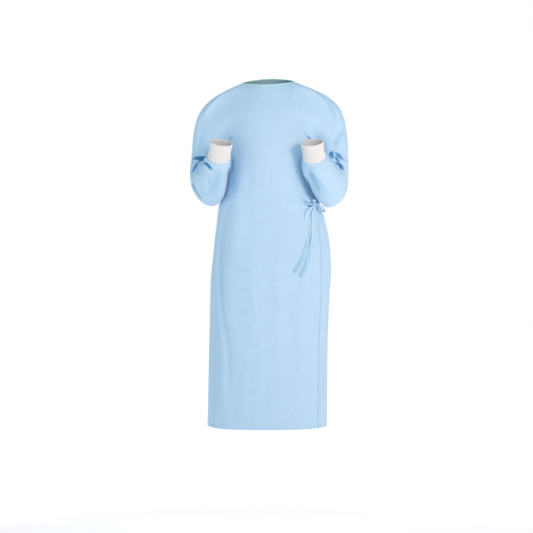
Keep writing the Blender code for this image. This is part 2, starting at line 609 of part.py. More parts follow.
def bow_loop(loop):
    """A loop of the bow: out from the knot along one layer and back along the other, as a flat teardrop."""
    middle, out, down, round_way = knot_frame()
    way = unit(round_way * loop.round_share + down * loop.down_share + out * loop.out_share)
    root = round_way * KNOT_SIZE[0] / 2 if loop.from_side else -down * KNOT_SIZE[2] / 2
    flat_way = unit(np.cross(np.cross(way, out), way))
    swing = 2 * np.pi * np.linspace(0, 1, LOOP_STEPS + 1)
    length = (1 - np.cos(swing)) / 2
    bow = LOOP_BOW * np.sin(swing) * (0.35 + 0.65 * length) + LOOP_ROOT * np.cos(swing / 2)
    clear = unit(root) * TIE_WIDTH / 2 * PINCH + way * GAP
    start = middle + root + clear + out * LOOP_FORWARD
    centre = start + loop.length * length[:, None] * way + bow[:, None] * flat_way
    across = np.repeat(np.cross(way, flat_way)[None, :], len(swing), axis=0)
    return ribbon(loop.name, centre, across, PINCH + (1 - PINCH) * ease(length * 2))


def knot():
    middle, out, down, round_way = knot_frame()
    bpy.ops.mesh.primitive_cube_add(size=1)
    piece = bpy.context.active_object
    piece.name = piece.data.name = "tie_knot"
    axes = Matrix((round_way.tolist(), out.tolist(), (-down).tolist())).transposed()
    piece.data.transform(Matrix.Diagonal((*KNOT_SIZE, 1)))
    piece.data.transform(axes.to_4x4())
    if axes.determinant() < 0:
        piece.data.flip_normals()
    piece.location = middle.tolist()
    edge = piece.modifiers.new("soft_edges", "BEVEL")
    edge.width = 0.0035
    edge.segments = 2
    finish_piece(piece, TIE_COLOUR)


def material(colour):
    """A Principled material with the piece's colour and roughness, made once."""
    found = bpy.data.materials.get(colour.name)
    if found:
        return found
    made = bpy.data.materials.new(colour.name)
    made.use_nodes = True
    shader = made.node_tree.nodes["Principled BSDF"]
    shader.inputs["Base Color"].default_value = (colour.red, colour.green, colour.blue, 1.0)
    shader.inputs["Roughness"].default_value = colour.roughness
    shader.inputs["Metallic"].default_value = 0.0
    return made


def gown_collection():
    found = bpy.data.collections.get("surgical_gown")
    if not found:
        found = bpy.data.collections.new("surgical_gown")
        bpy.context.scene.collection.children.link(found)
    return found


def finish_piece(piece, colour):
    for holder in list(piece.users_collection):
        holder.objects.unlink(piece)
    gown_collection().objects.link(piece)
    piece.data.materials.append(material(colour))
    piece.data.shade_smooth()


def new_piece(name, mesh, colour):
    piece = bpy.data.objects.new(name, mesh)
    finish_piece(piece, colour)
    return piece


def main():
    for item in list(bpy.data.objects):
        bpy.data.objects.remove(item)
    front = front_grid()
    outer_back = back_grid(-1, "outer_turn", outer_lap)
    inner_back = back_grid(1, "inner_turn", no_lap)
    cloth_wall("front_panel", front, CLOTH, CLOTH_COLOUR)
    cloth_wall("back_panel_right", outer_back, CLOTH, CLOTH_COLOUR, flip=True)
    cloth_wall("back_panel_left", inner_back, CLOTH, CLOTH_COLOUR)
    sleeves = {}
    for arm in ARMS:
        sleeves[arm.name] = sleeve_grid(arm)
        cloth_wall("sleeve_" + arm.name, sleeves[arm.name], CLOTH, CLOTH_COLOUR, True, arm.side < 0)
        cuff(arm)
    neck_binding(front, outer_back, inner_back, sleeves["left"], sleeves["right"])
    knot()
    for row in STRAPS:
        strap(row)
    for loop in BOW_LOOPS:
        bow_loop(loop)
    tail("tie_tail_front", FRONT_TAIL, -ROOT_ASIDE, -ROOT_FORWARD)
    tail("tie_tail_side", SIDE_TAIL, ROOT_ASIDE, ROOT_FORWARD)


main()
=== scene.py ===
import math
from collections import namedtuple

import bpy
import numpy as np
from bpy.props import FloatProperty, FloatVectorProperty, PointerProperty
from bpy.types import Operator, Panel, PropertyGroup
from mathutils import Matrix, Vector


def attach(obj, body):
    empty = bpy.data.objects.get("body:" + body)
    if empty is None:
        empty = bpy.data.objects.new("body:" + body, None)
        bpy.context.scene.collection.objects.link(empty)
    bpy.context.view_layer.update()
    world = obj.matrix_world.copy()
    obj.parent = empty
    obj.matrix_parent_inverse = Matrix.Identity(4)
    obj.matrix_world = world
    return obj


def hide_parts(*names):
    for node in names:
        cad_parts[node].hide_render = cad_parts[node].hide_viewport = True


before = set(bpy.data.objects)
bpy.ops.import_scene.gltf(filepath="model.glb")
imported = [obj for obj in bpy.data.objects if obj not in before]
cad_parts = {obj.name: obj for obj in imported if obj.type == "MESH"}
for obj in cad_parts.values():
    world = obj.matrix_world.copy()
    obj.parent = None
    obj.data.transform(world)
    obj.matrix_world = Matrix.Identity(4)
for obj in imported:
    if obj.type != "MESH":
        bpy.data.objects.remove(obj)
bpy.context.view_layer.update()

bl_info = {
    "name": "Surgical gown",
    "version": (1, 0, 0),
    "blender": (4, 5, 0),
    "location": "3D View > Sidebar > Gown",
    "description": "Dresses the solid model of a worn surgical gown in thin cloth, knit cuffs and its tied waist tie",
    "category": "Add Mesh",
}


def table_of(kind, *rows):
    """A table: each row's values under the names of its kind."""
    return tuple(kind(*row) for row in rows)


# Metres, +Z up, the front faces -Y and +X is the wearer's left. The origin is the middle of the neck opening.
GOWN_LENGTH = 1.222  # neck point to hem
UNDERARM_DROP = 0.235  # neck point to underarm
NECK_FRONT_HEIGHT = -0.029  # the neckline's front and back, against its sides
NECK_BACK_HEIGHT = 0.014
NECK_FADE = 0.30  # below this drop the rings are level
SHOULDER_LEAN = 0.030  # how much the wearer's left shoulder stands higher, per metre
LEAN_FADE = 0.50
LAP = 0.0032  # how far the outer back panel stands off what it laps over
NECK_LAP = 0.0044  # and at the neck, where both edges are bound
EDGE_LAP = 0.0008  # and along its free edge, which lies down
LAP_FULL_TURN = 143  # the turn where it first stands off that far

# Grid steps
PANEL_TURN = 1.4  # between columns, degrees
RAGLAN_STEPS = 56
SKIRT_STEPS = 205
HEM_STEPS = 12  # by the hem, where they lie closer together
SLEEVE_FRONT = 132  # columns of a sleeve from the shoulder line to the underarm, round its front and round its back
SLEEVE_BACK = 55
YOKE_STEPS = 70
UPPER_STEPS = 16
ELBOW_STEPS = 124
FOREARM_STEPS = 44
PATH_POINTS = 24  # on a crease's path
CUFF_ROWS = 44
LIP_POINTS = 5  # round a cuff's edge
STRIP_POINTS = 9  # across the tie, and along each kind of strip
STRAP_POINTS = 25
TAIL_POINTS = 70
LOOP_POINTS = 41
KNOT_POINTS = (41, 64)  # from pole to pole, and round
HALVINGS = 30  # in the search for a turn
SMOOTH_PASSES = 6  # over the ways along the neck
FLOOR_POINTS = (40, 96)  # from the middle out, and round
WAY_TURN = 0.5  # degrees round the body and metres down it, over which the ways on its surface are measured
WAY_DROP = 0.003

# Seams and hems
HEM_CLOSE = 1.5  # the hem's depths over which the last rows lie closer together
SEAM_ALLOWANCE = 0.004  # how far a seam's cloth goes on under its neighbour
SEAM_SINK = 0.0010  # and how deep it lies there
NECK_ALLOWANCE = 0.05  # the share of both that is left where there is no such seam
SEWN_SWELL = 0.00025  # how much a sewn edge swells, how far from its seam and how widely
SEWN_AWAY = 0.0060
SEWN_SPREAD = 0.0040
HEM_STITCH = 0.0007  # how deep a hem's stitches pull the cloth in, and how widely
HEM_STITCH_SPREAD = 0.0013
HEM_DOUBLE = 0.0004  # how much its doubled cloth stands out, and over what length it rises
HEM_DOUBLE_FADE = 0.003
SIDE_FADE = 8  # rows over which a side seam's allowance grows full
NECK_LAP_FADE = 0.08  # the drop over which the outer back panel comes down to its usual distance
EDGE_DOWN = 14  # degrees over which it comes down to its free edge
EDGE_DOWN_TOP = 0.03  # and the drop from which it does, growing full over the next stretch
EDGE_DOWN_FADE = 0.08

# Horizontal rings of the body. The shift is to the wearer's left; front and back are depths from the neck's middle.
BodyRing = namedtuple("BodyRing", "drop shift half_width front back squareness")
BODY_RINGS = table_of(
    BodyRing,
    (0.000, -0.002, 0.087, 0.078, 0.072, 2.0),
    (0.020, -0.002, 0.115, 0.087, 0.085, 2.0),
    (0.060, -0.001, 0.144, 0.104, 0.104, 2.1),
    (0.110, 0.000, 0.156, 0.122, 0.120, 2.3),
    (0.180, 0.000, 0.156, 0.136, 0.128, 2.3),
    (0.240, 0.000, 0.150, 0.140, 0.128, 2.2),
    (0.300, 0.000, 0.146, 0.139, 0.125, 2.1),
    (0.360, 0.000, 0.149, 0.136, 0.119, 2.1),
    (0.410, -0.001, 0.163, 0.134, 0.116, 2.2),
    (0.445, 0.000, 0.1765, 0.134, 0.115, 2.4),
    (0.511, 0.006, 0.191, 0.137, 0.120, 2.6),
    (0.600, 0.007, 0.202, 0.142, 0.128, 2.7),
    (0.720, 0.004, 0.209, 0.147, 0.135, 2.7),
    (0.900, -0.002, 0.208, 0.151, 0.141, 2.6),
    (1.222, -0.008, 0.210, 0.156, 0.147, 2.5),
)

# The raglan seams, from the neckline to the underarm. A turn is the angle round the body from the front's middle.
RaglanPoint = namedtuple("RaglanPoint", "share drop front_turn back_turn")
RAGLAN = table_of(
    RaglanPoint,
    (0.00, 0.000, 58, 120),
    (0.20, 0.052, 40, 136),
    (0.40, 0.105, 37, 139),
    (0.60, 0.158, 42, 134),
    (0.80, 0.205, 58, 118),
    (1.00, UNDERARM_DROP, 90, 90),
)

# The free edges of the back panels, as turns past each one's own side. The outer one wraps round to the left front.
BackEdge = namedtuple("BackEdge", "drop outer_turn inner_turn")
BACK_EDGES = table_of(
    BackEdge,
    (0.000, 202, 202),
    (0.110, 212, 203),
    (0.240, 240, 206),
    (0.340, 268, 208),
    (0.450, 290, 210),
    (0.540, 299, 210),
    (0.600, 300, 210),
    (GOWN_LENGTH, 300, 210),
)

# Soft folds of the body: a ridge stands out by its height, a trough has a negative one. Angles in degrees.
Fold = namedtuple("Fold", "turn lean top bottom height spread")
BODY_FOLDS = table_of(
    Fold,
    (-43, -2, 0.26, 0.66, 0.0055, 9),
    (-62, 0, 0.40, 0.78, -0.0050, 8),
    (-52, 3, 0.62, 1.30, 0.0050, 10),
    (-74, 0, 0.66, 1.34, -0.0045, 9),
    (-24, 5, 0.55, 1.00, 0.0030, 8),
    (8, 7, 0.58, 0.98, 0.0030, 8),
    (26, 4, 0.60, 1.26, -0.0035, 10),
    (72, 14, 0.47, 0.76, 0.0045, 9),
    (92, 4, 0.48, 1.30, -0.0045, 9),
    (112, 4, 0.42, 1.32, 0.0060, 9),
    (134, 2, 0.40, 1.30, -0.0060, 9),
    (158, -4, 0.30, 1.28, 0.0060, 10),
    (184, 3, 0.34, 1.34, -0.0060, 10),
    (208, -3, 0.38, 1.30, 0.0060, 10),
    (232, 2, 0.42, 1.34, -0.0060, 9),
    (254, 0, 0.46, 1.30, 0.0045, 8),
)

# The arm: a straight upper arm, a tight bend round the crook of the elbow, then a forearm that curves a little.
# Directions and places on it are outwards, back and up.
CROOK = np.array([0.206, -0.058, -0.294])
UPPER_ARM = np.array([0.060, 0.150, -0.985])
FOREARM = np.array([-0.200, -0.640, 0.740])
BEND_RADIUS = 0.080
BEND_TURN = math.radians(142)
UPPER_RUN = 0.032  # from the underarm ring to the bend
FOREARM_RUN = 0.080  # from the bend to the cuff seam
CUFF_LENGTH = 0.060
FOREARM_TURN = math.radians(20)  # how much the forearm and cuff go on turning

# Sleeve rings. The stage is 0 to 1 along the upper run, 1 to 2 round the bend and 2 to 3 along the forearm; the cuff
# goes on from 3 to 4. The half sizes are to the crook's side, away from it, to the outside and to the body.
SleeveRing = namedtuple("SleeveRing", "stage crook_side far_side outside body_side")
LEFT_RINGS = table_of(
    SleeveRing,
    (0.00, 0.068, 0.062, 0.055, 0.050),
    (1.00, 0.068, 0.066, 0.053, 0.048),
    (1.35, 0.066, 0.076, 0.060, 0.040),
    (1.65, 0.064, 0.082, 0.070, 0.038),
    (2.00, 0.058, 0.070, 0.071, 0.044),
    (2.45, 0.050, 0.054, 0.057, 0.054),
    (2.85, 0.041, 0.045, 0.047, 0.047),
    (3.00, 0.036, 0.038, 0.0405, 0.0405),
)
RIGHT_RINGS = table_of(
    SleeveRing,
    (0.00, 0.068, 0.062, 0.047, 0.050),
    (1.00, 0.068, 0.066, 0.049, 0.046),
    (1.35, 0.066, 0.075, 0.064, 0.040),
    (1.65, 0.064, 0.077, 0.067, 0.047),
    (2.00, 0.058, 0.066, 0.069, 0.039),
    (2.45, 0.050, 0.052, 0.058, 0.038),
    (2.85, 0.041, 0.044, 0.047, 0.043),
    (3.00, 0.036, 0.038, 0.0405, 0.0405),
)

# How far out the hand and the elbow are held, and how the sleeve leaves the neck and comes to the underarm ring: its
# slope at the neck, and how full it swings over the shoulder on the way out and on the way down.
Arm = namedtuple("Arm", "name side rings hand_out elbow_out slope leave arrive")
ARMS = table_of(
    Arm,
    ("left", 1, LEFT_RINGS, -0.021, 0.000, math.radians(20), 1.80, 1.48),
    ("right", -1, RIGHT_RINGS, -0.004, -0.008, math.radians(21), 1.80, 1.18),
)
ELBOW_STAGE = 1.6  # where the elbow is held out, and how widely
ELBOW_SPREAD = 0.5
SEAM_REACH = 1.05  # how full it swings at the seam's front and back
UNDERARM_REACH = 1.0
UNDERARM_STEP = 0.0045  # how far the sleeve's seam stands off the body under the arm
UNDERARM_WAY = (0.75, 0.0, -0.66)  # the way its cloth leaves the seam there

# Places along half a sleeve's seam, counted from the shoulder line
SHOULDER_PLACE = 2  # where the raglan seam starts
SHOULDER_FADE = 1.2  # the places after it over which its allowance grows full
NECK_WAY_END = 4  # where the cloth no longer leaves the seam away from the neck
NECK_WAY_FADE = 3
UNDER_PLACE = 7  # where it turns under the arm
SEAM_PLACES = 11  # the underarm

# Creases of the sleeve, at an angle round it from the outside (0) by the crook's side (90) to the body's (180). The
# side is 1 on the wearer's left sleeve, -1 on the right and 0 on both.
Swell = namedtuple("Swell", "side stage angle slant along round height")
SLEEVE_CREASES = table_of(
    Swell,
    (0, 0.70, 60, 0.4, 0.24, 38, -0.0060),
    (0, 1.10, 36, -0.2, 0.13, 42, 0.0065),
    (0, 1.34, 36, 0.1, 0.10, 46, -0.0130),
    (0, 1.52, 24, 0.1, 0.08, 34, 0.0060),
    (0, 1.68, 30, 0.3, 0.08, 40, -0.0080),
    (0, 1.90, 34, 0.2, 0.13, 44, 0.0050),
    (1, 2.15, 52, 0.4, 0.16, 42, -0.0050),
    (-1, 2.40, -18, 0.9, 0.18, 34, -0.0055),
    (-1, 2.72, -34, 0.9, 0.16, 32, 0.0030),
    (1, 2.35, -128, 0.6, 0.40, 26, -0.0040),
    (-1, 1.72, -22, -0.6, 0.15, 30, -0.0045),
    (-1, 1.74, -38, 0.0, 0.25, 26, -0.0055),
    (1, 1.75, -115, 0.0, 0.20, 22, -0.0055),
    (0, 1.30, -96, 0.5, 0.20, 44, -0.0040),
    (0, 0.60, -70, -0.6, 0.30, 40, -0.0045),
)

# Cuff: a rib knit tube
CuffRing = namedtuple("CuffRing", "share crook_side far_side outside body_side")
CUFF_RINGS = table_of(
    CuffRing,
    (0.00, 0.0345, 0.0365, 0.0385, 0.0385),
    (0.40, 0.0325, 0.0340, 0.0365, 0.0365),
    (1.00, 0.0325, 0.0340, 0.0375, 0.0375),
)

# Neck binding: a strip folded over the neck edge
BINDING_DEPTH = 0.0062  # how far it reaches down the cloth
BINDING_CLEAR = 0.0006  # between it and the cloth on each side
BINDING_RIPPLE = 0.00025
BINDING_ROUND = 0.8  # where its lower corners are cut off, against its depth and half width

# Waist tie
TIE_WIDTH = 0.0095
KNOT_TURN = 60.5
KNOT_DROP = 0.4446
KNOT_SIZE = (0.015, 0.010, 0.016)  # round the body, out from it, up
KNOT_LIFT = 0.0093
KNOT_POWER = 2.6  # how square the knot is: 2 is an ellipsoid
ROOT_INSIDE = 0.001  # how far inside the knot's surface straps and tails start
STRAP_SWELL = 0.0004  # how much the tie's folded cloth swells between its edges
RIDGE_LIFT = 0.001  # the tie follows the troughs of the cloth under it, and its ridges up to this height
STRAP_NEAR = 0.4  # the share of a strap after which it turns to the knot
STRAP_REST = 0.0017  # a strap's middle above the middle of the cloth that it lies on
PINCH = 0.5  # a strap's width where the knot gathers it, against its full width
Strap = namedtuple("Strap", "name sewn_turn sewn_drop rest side")
STRAPS = table_of(
    Strap,
    ("tie_front", 46, 0.439, STRAP_REST + 0.0003, -1),  # sewn to the front panel
    ("tie_back", 79, 0.456, STRAP_REST + LAP + 0.0003, 1),  # sewn to the outer back panel
)
STRAP_SINK = 0.0030  # how far behind the knot's middle the straps reach it
TAIL_REST = STRAP_REST + 0.0009
TiePoint = namedtuple("TiePoint", "share out drop lift")
FRONT_TAIL = table_of(
    TiePoint,
    (0.00, 0.150, 0.458, 0.0070),
    (0.09, 0.137, 0.468, 0.0030),
    (0.18, 0.1285, 0.486, TAIL_REST),
    (0.32, 0.1285, 0.520, TAIL_REST),
    (0.52, 0.1325, 0.570, TAIL_REST),
    (0.70, 0.1215, 0.613, TAIL_REST),
    (0.86, 0.106, 0.652, 0.0032),
    (1.00, 0.086, 0.680, 0.0060),
)
SIDE_TAIL = table_of(
    TiePoint,
    (0.00, 0.158, 0.458, 0.0100),
    (0.08, 0.151, 0.472, 0.0040),
    (0.18, 0.1475, 0.492, TAIL_REST),
    (0.40, 0.148, 0.548, TAIL_REST),
    (0.58, 0.1425, 0.594, TAIL_REST),
    (0.76, 0.131, 0.638, TAIL_REST),
    (0.90, 0.120, 0.672, 0.0032),
    (1.00, 0.108, 0.696, 0.0060),
)
Tail = namedtuple("Tail", "name route side curl")
TAILS = table_of(
    Tail,
    ("tie_tail_front", FRONT_TAIL, -1, 0.16),
    ("tie_tail_side", SIDE_TAIL, 1, 0.20),
)
ROOT_ASIDE = 0.0032  # how far aside and forward the side end leaves the knot; the front end does the opposite
ROOT_FORWARD = 0.0018
TAIL_FREE = 0.10  # the share of a loose end over which it opens out
TAIL_WAVE = 0.0010
TAIL_ROLL = 0.0003  # how much its edges roll, one each way
Loop = namedtuple("Loop", "name length round_share down_share out_share from_side")
BOW_LOOPS = table_of(
    Loop,
    ("tie_loop_side", 0.044, 0.60, 0.77, 0.26, True),
    ("tie_loop_up", 0.010, -0.90, -0.35, 0.80, False),
)
LOOP_FORWARD = 0.0020  # how far in front of the knot's middle its loops leave it
LOOP_BOW = 0.0075  # how far a loop's two layers bow apart
LOOP_INSIDE = 0.85  # where a loop starts, against the knot's half size
LOOP_ROOT = 0.0011  # half the distance of its two layers at the knot

# Finer folds of the skirt and the back, in the same terms as the large ones
FINE_FOLDS = table_of(
    Fold,
    (-12, 3, 0.62, 1.20, 0.0016, 5),
    (-30, 2, 0.30, 0.60, -0.0014, 5),
    (-36, -3, 0.90, 1.34, -0.0020, 6),
    (-4, 1, 0.96, 1.34, -0.0014, 7),
    (16, 2, 0.28, 0.60, 0.0012, 6),
    (41, -5, 0.50, 1.08, 0.0022, 5),
    (52, 3, 0.62, 1.34, -0.0018, 5),
    (-84, 2, 0.56, 1.20, 0.0022, 5),
    (-104, -3, 0.44, 1.24, -0.0028, 5),
    (146, -5, 0.52, 1.12, 0.0024, 4),
    (170, 3, 0.20, 0.74, -0.0026, 5),
    (196, 5, 0.62, 1.34, 0.0024, 5),
    (219, -4, 0.24, 0.80, -0.0024, 5),
    (243, 3, 0.58, 1.34, 0.0022, 4),
)

# Creases along a path. The height is in or out at its middle, the lip rises or sinks on the right of its way, the
# spread is its half width, and the fade is the share of its length over which each end dies out.
Crease = namedtuple("Crease", "side height lip spread fade path")
FOLD_FADE = 1 / 3  # the share of a fold's length over which each end dies out
CREASE_REACH = 4  # how many spreads away from its path a crease still counts
LIP_PLACE = 1.5  # how many of its crease's spreads a lip lies from the path, and how many it is wide
LIP_SPREAD = 0.9
LEAN = 0.12  # how far a lip leans over its crease, against the crease's depth
LEAN_NEAR = 0.3  # within this many spreads of the path it leans no further
BODY_CREASES = table_of(
    Crease,
    # the soft shade line down the skirt's right, with its ridge, then short soft ridges and dips
    (0, -0.0045, 0.0022, 0.016, 0.2, ((-65, 0.45), (-65, 0.62), (-56, 0.77), (-48, 0.90), (-44, 1.02), (-45, 1.21))),
    (0, 0.0022, 0.0, 0.007, 0.3, ((-23, 0.74), (-19, 0.80), (-14, 0.87))),
    (0, 0.0020, 0.0, 0.006, 0.3, ((6, 0.755), (11, 0.785), (15, 0.82))),
    (0, 0.0024, 0.0, 0.007, 0.3, ((-55, 0.76), (-50, 0.83), (-44, 0.91))),
    (0, -0.0014, 0.0, 0.004, 0.3, ((0.5, 0.31), (0, 0.36), (0.5, 0.425))),
    (0, -0.0012, 0.0, 0.005, 0.35, ((-18, 0.184), (-8, 0.190), (3, 0.192))),
    # gathers at the knot
    (0, -0.0160, 0.0020, 0.0078, 0.40, ((48, 0.441), (53, 0.444), (59, 0.449), (65, 0.456))),
    (0, -0.0070, -0.0012, 0.0050, 0.45, ((45, 0.424), (52, 0.432), (59, 0.444))),
    (0, -0.0034, 0.0014, 0.0050, 0.45, ((44, 0.470), (51, 0.462), (58, 0.456))),
    (0, 0.0022, 0.0, 0.0060, 0.45, ((40, 0.456), (49, 0.456), (56, 0.452))),
    (0, -0.0052, 0.0018, 0.0060, 0.35, ((47.5, 0.462), (46.5, 0.500), (46.5, 0.560), (48, 0.640))),
    (0, 0.0030, 0.0, 0.0070, 0.4, ((54, 0.475), (53, 0.520), (53, 0.590))),
    (0, -0.0046, 0.0016, 0.0055, 0.35, ((67, 0.472), (70, 0.500), (76, 0.530), (81, 0.575))),
    (0, -0.0034, 0.0012, 0.0050, 0.35, ((62, 0.480), (61, 0.515), (64, 0.560), (66, 0.610))),
    (0, -0.0040, 0.0015, 0.0070, 0.4, ((70, 0.455), (79, 0.462), (90, 0.480), (102, 0.510))),
    (0, 0.0034, 0.0, 0.0075, 0.4, ((70, 0.440), (80, 0.436), (92, 0.440))),
    (0, -0.0036, 0.0012, 0.0070, 0.4, ((69, 0.432), (78, 0.418), (90, 0.402))),
    # a short pleat under the knot, and where the forearms press against the body
    (0, -0.0090, 0.0020, 0.0050, 0.40, ((71, 0.482), (72, 0.507), (75, 0.535))),
    (0, -0.0090, 0.0, 0.0048, 0.30, ((-59, 0.274), (-63.5, 0.304), (-68, 0.330), (-75, 0.357), (-80, 0.390))),
    (0, -0.0060, 0.0, 0.0060, 0.40, ((-58, 0.280), (-61, 0.302), (-65, 0.328))),
    (0, -0.0090, 0.0, 0.0046, 0.25, ((46, 0.267), (48.5, 0.300), (54, 0.340), (60, 0.370), (65, 0.397), (68, 0.420))),
    # drag lines from the underarms
    (0, -0.0034, 0.0016, 0.0090, 0.35, ((-76, 0.250), (-66, 0.300), (-60, 0.370))),
    (0, -0.0030, 0.0014, 0.0080, 0.35, ((74, 0.250), (66, 0.290), (60, 0.350))),
    (0, -0.0040, 0.0018, 0.0090, 0.35, ((-106, 0.255), (-116, 0.310), (-122, 0.390))),
    (0, -0.0036, 0.0016, 0.0090, 0.35, ((108, 0.250), (118, 0.300), (124, 0.370))),
    (0, 0.0026, 0.0, 0.0090, 0.35, ((128, 0.170), (146, 0.215), (162, 0.240))),
    (0, -0.0026, 0.0, 0.0080, 0.35, ((-130, 0.190), (-148, 0.230), (-166, 0.250))),
)
SLEEVE_PATHS = table_of(
    Crease,
    # the wearer's right: tucks in the crook, a fold on the forearm, one at the point of the elbow
    (-1, -0.0210, 0.0040, 0.0062, 0.22,
     ((0.64, 92), (0.66, 75), (0.68, 60), (0.72, 45), (0.80, 24), (0.84, 8), (0.82, -6))),
    (-1, 0.0040, 0.0, 0.0040, 0.35, ((0.90, 60), (1.00, 34), (1.03, 12))),
    (-1, -0.0060, 0.0, 0.0028, 0.4, ((1.05, 34), (1.05, 20), (1.04, 4))),
    (-1, -0.0200, 0.0040, 0.0060, 0.2,
     ((1.31, -36), (1.28, -16), (1.27, 2), (1.25, 20), (1.21, 35), (1.10, 46), (0.90, 58), (0.80, 80))),
    (-1, -0.0170, 0.0035, 0.0064, 0.3, ((2.69, -63), (2.78, -46), (2.84, -24), (2.76, 6), (2.60, 30), (2.46, 46))),
    (-1, -0.0044, 0.0018, 0.0055, 0.35, ((2.10, 36), (2.17, 24), (2.22, -8), (2.21, -42))),
    (-1, 0.0028, 0.0, 0.0090, 0.35, ((2.74, 8), (2.60, -18), (2.40, -36))),
    (-1, -0.0095, 0.0024, 0.0046, 0.3, ((1.50, 4), (1.56, -4), (1.63, -21), (1.70, -39), (1.77, -56))),
    (-1, -0.0036, 0.0015, 0.0070, 0.4, ((1.72, -70), (1.80, -90), (1.84, -112))),
    (-1, -0.0022, 0.0010, 0.0090, 0.4, ((2.50, -44), (2.25, -56), (2.02, -66))),
    (-1, 0.0055, 0.0, 0.0120, 0.3, ((2.80, -134), (2.46, -114), (2.18, -108), (1.92, -98))),
    (-1, -0.0060, 0.0, 0.0300, 0.25, ((2.99, -96), (2.50, -86), (2.15, -80), (1.68, -72))),
    # the wearer's left: two puffs over the crook, the deep tuck behind the forearm, a long soft fold down the arm
    (1, -0.0160, 0.0035, 0.0100, 0.3, ((0.86, 80), (0.50, 80), (0.16, 81), (-0.04, 83))),
    (1, 0.0055, 0.0, 0.0070, 0.4, ((0.12, 71), (0.50, 69), (0.95, 68))),
    (1, -0.0130, 0.0030, 0.0046, 0.3, ((1.00, 22), (0.86, 31), (0.50, 46), (0.20, 60), (0.06, 67))),
    (1, -0.0130, 0.0024, 0.0048, 0.35, ((1.10, 50), (0.90, 54), (0.60, 57), (0.40, 58))),
    (1, -0.0175, 0.0036, 0.0060, 0.2,
     ((1.14, 78), (1.20, 60), (1.24, 45), (1.27, 32), (1.31, 22), (1.38, 14), (1.46, 9), (1.53, 4), (1.58, -3))),
    (1, -0.0055, 0.0030, 0.0120, 0.3, ((0.02, 86), (-0.10, 60), (-0.15, 40), (-0.18, 22), (-0.30, 10))),
    (1, 0.0055, 0.0, 0.0100, 0.3, ((1.80, -58), (1.98, -62), (2.20, -69), (2.52, -80), (2.92, -102))),
    (1, -0.0080, 0.0, 0.0175, 0.3, ((2.88, -126), (2.46, -108), (2.10, -97), (1.84, -87))),
    (1, -0.0020, 0.0, 0.0050, 0.4, ((2.86, -40), (2.76, -20), (2.68, 6))),
    (1, -0.0034, 0.0014, 0.0080, 0.4, ((-0.93, 12), (-0.86, 20), (-0.78, 30))),
    # the upper arms: long soft folds, front and outside
    (-1, -0.0034, 0.0022, 0.0110, 0.35, ((-0.55, 26), (-0.30, 38), (-0.05, 44), (0.50, 42))),
    (-1, 0.0026, 0.0, 0.0100, 0.35, ((-0.60, 8), (-0.30, 14), (0.10, 16))),
    (1, 0.0028, 0.0, 0.0110, 0.35, ((-0.62, 26), (-0.42, 34), (-0.22, 44))),
    (-1, -0.0026, 0.0014, 0.0080, 0.4, ((-0.88, 28), (-0.78, 35), (-0.62, 44))),
    # both: the back of the arm and the point of the elbow
    (0, -0.0040, 0.0020, 0.0090, 0.35, ((-0.70, -44), (-0.35, -56), (0.00, -62))),
    (0, -0.0044, 0.0020, 0.0080, 0.35, ((-0.20, -30), (0.30, -42), (0.95, -58))),
    (0, -0.0050, 0.0022, 0.0070, 0.35, ((1.05, -34), (1.20, -62), (1.26, -96))),
    (0, 0.0040, 0.0, 0.0080, 0.4, ((1.22, -36), (1.34, -60), (1.40, -92))),
    (0, -0.0046, 0.0020, 0.0065, 0.35, ((1.34, -34), (1.48, -60), (1.54, -92), (1.52, -120))),
    (0, -0.0040, 0.0016, 0.0070, 0.4, ((-0.40, 128), (-0.10, 142), (0.40, 150))),
    (0, -0.0060, 0.0022, 0.0055, 0.35, ((1.10, 104), (1.16, 130), (1.22, 158))),
    (0, -0.0050, 0.0020, 0.0055, 0.35, ((1.34, 104), (1.44, 132), (1.52, 160))),
    (0, -0.0036, 0.0016, 0.0080, 0.35, ((2.60, 150), (2.30, 166), (2.05, 182))),
)

# Gathers of the sleeve into its cuff, and the cuff's own form
GATHER_HEIGHT = 0.0013
GATHER_PLACE = 0.006  # from the cuff's seam
GATHER_SPREAD = 0.009
GATHER_START = 0.003
CUFF_SEAM_DIP = 0.0012  # how deep the sleeve dips at the seam, and how widely
CUFF_SEAM_SPREAD = 0.0025
WRIST_SHARE = 0.03  # how far down the cuff the sleeve's end goes on inside it
WRIST_INSET = 0.0008
CUFF_GATHERS = ((11, 0.6, 0.30), (17, 2.1, 0.28), (26, 4.0, 0.24), (37, 1.2, 0.18))  # waves, phase, share
CUFF_RIBS = 84
RIB_COLUMNS = 4  # to each rib
CUFF_START = 0.006  # the share of its length at which its first row lies
CUFF_TUCK = 0.0010  # how deep it is tucked in at its seam, over what share, and how much of that its inside takes
CUFF_TUCK_SHARE = 0.05
CUFF_TUCK_INSIDE = 0.2
SLOUCH = 0.0007  # soft waves along the cuff, and the share of its length over which each end dies out
SLOUCH_FADE = 0.25

# Flat cut sizes: width, length and area in square metres
Cut = namedtuple("Cut", "width length area held")

# Finishes
FOLD_SHADE_FULL = 0.013  # the depth at which a crease has its full painted shade
FOLD_PAINTED_SHADE = (0.27, 0.60, 0.77, 1.0)  # painted shade: what the cloth keeps of its colour down in a fold
STRIP_PAINTED_SHADE = (0.55, 0.80, 0.92, 1.0)  # and painted shade on the tie's strips from 0.07 m along them on, mostly their loose ends
POINT_RATE = 2856.0  # of the cloth's pressed points, in radians a metre: they lie 2.2 mm apart
STITCH_PITCH = 0.0016  # between the cuffs' stitches, along a rib

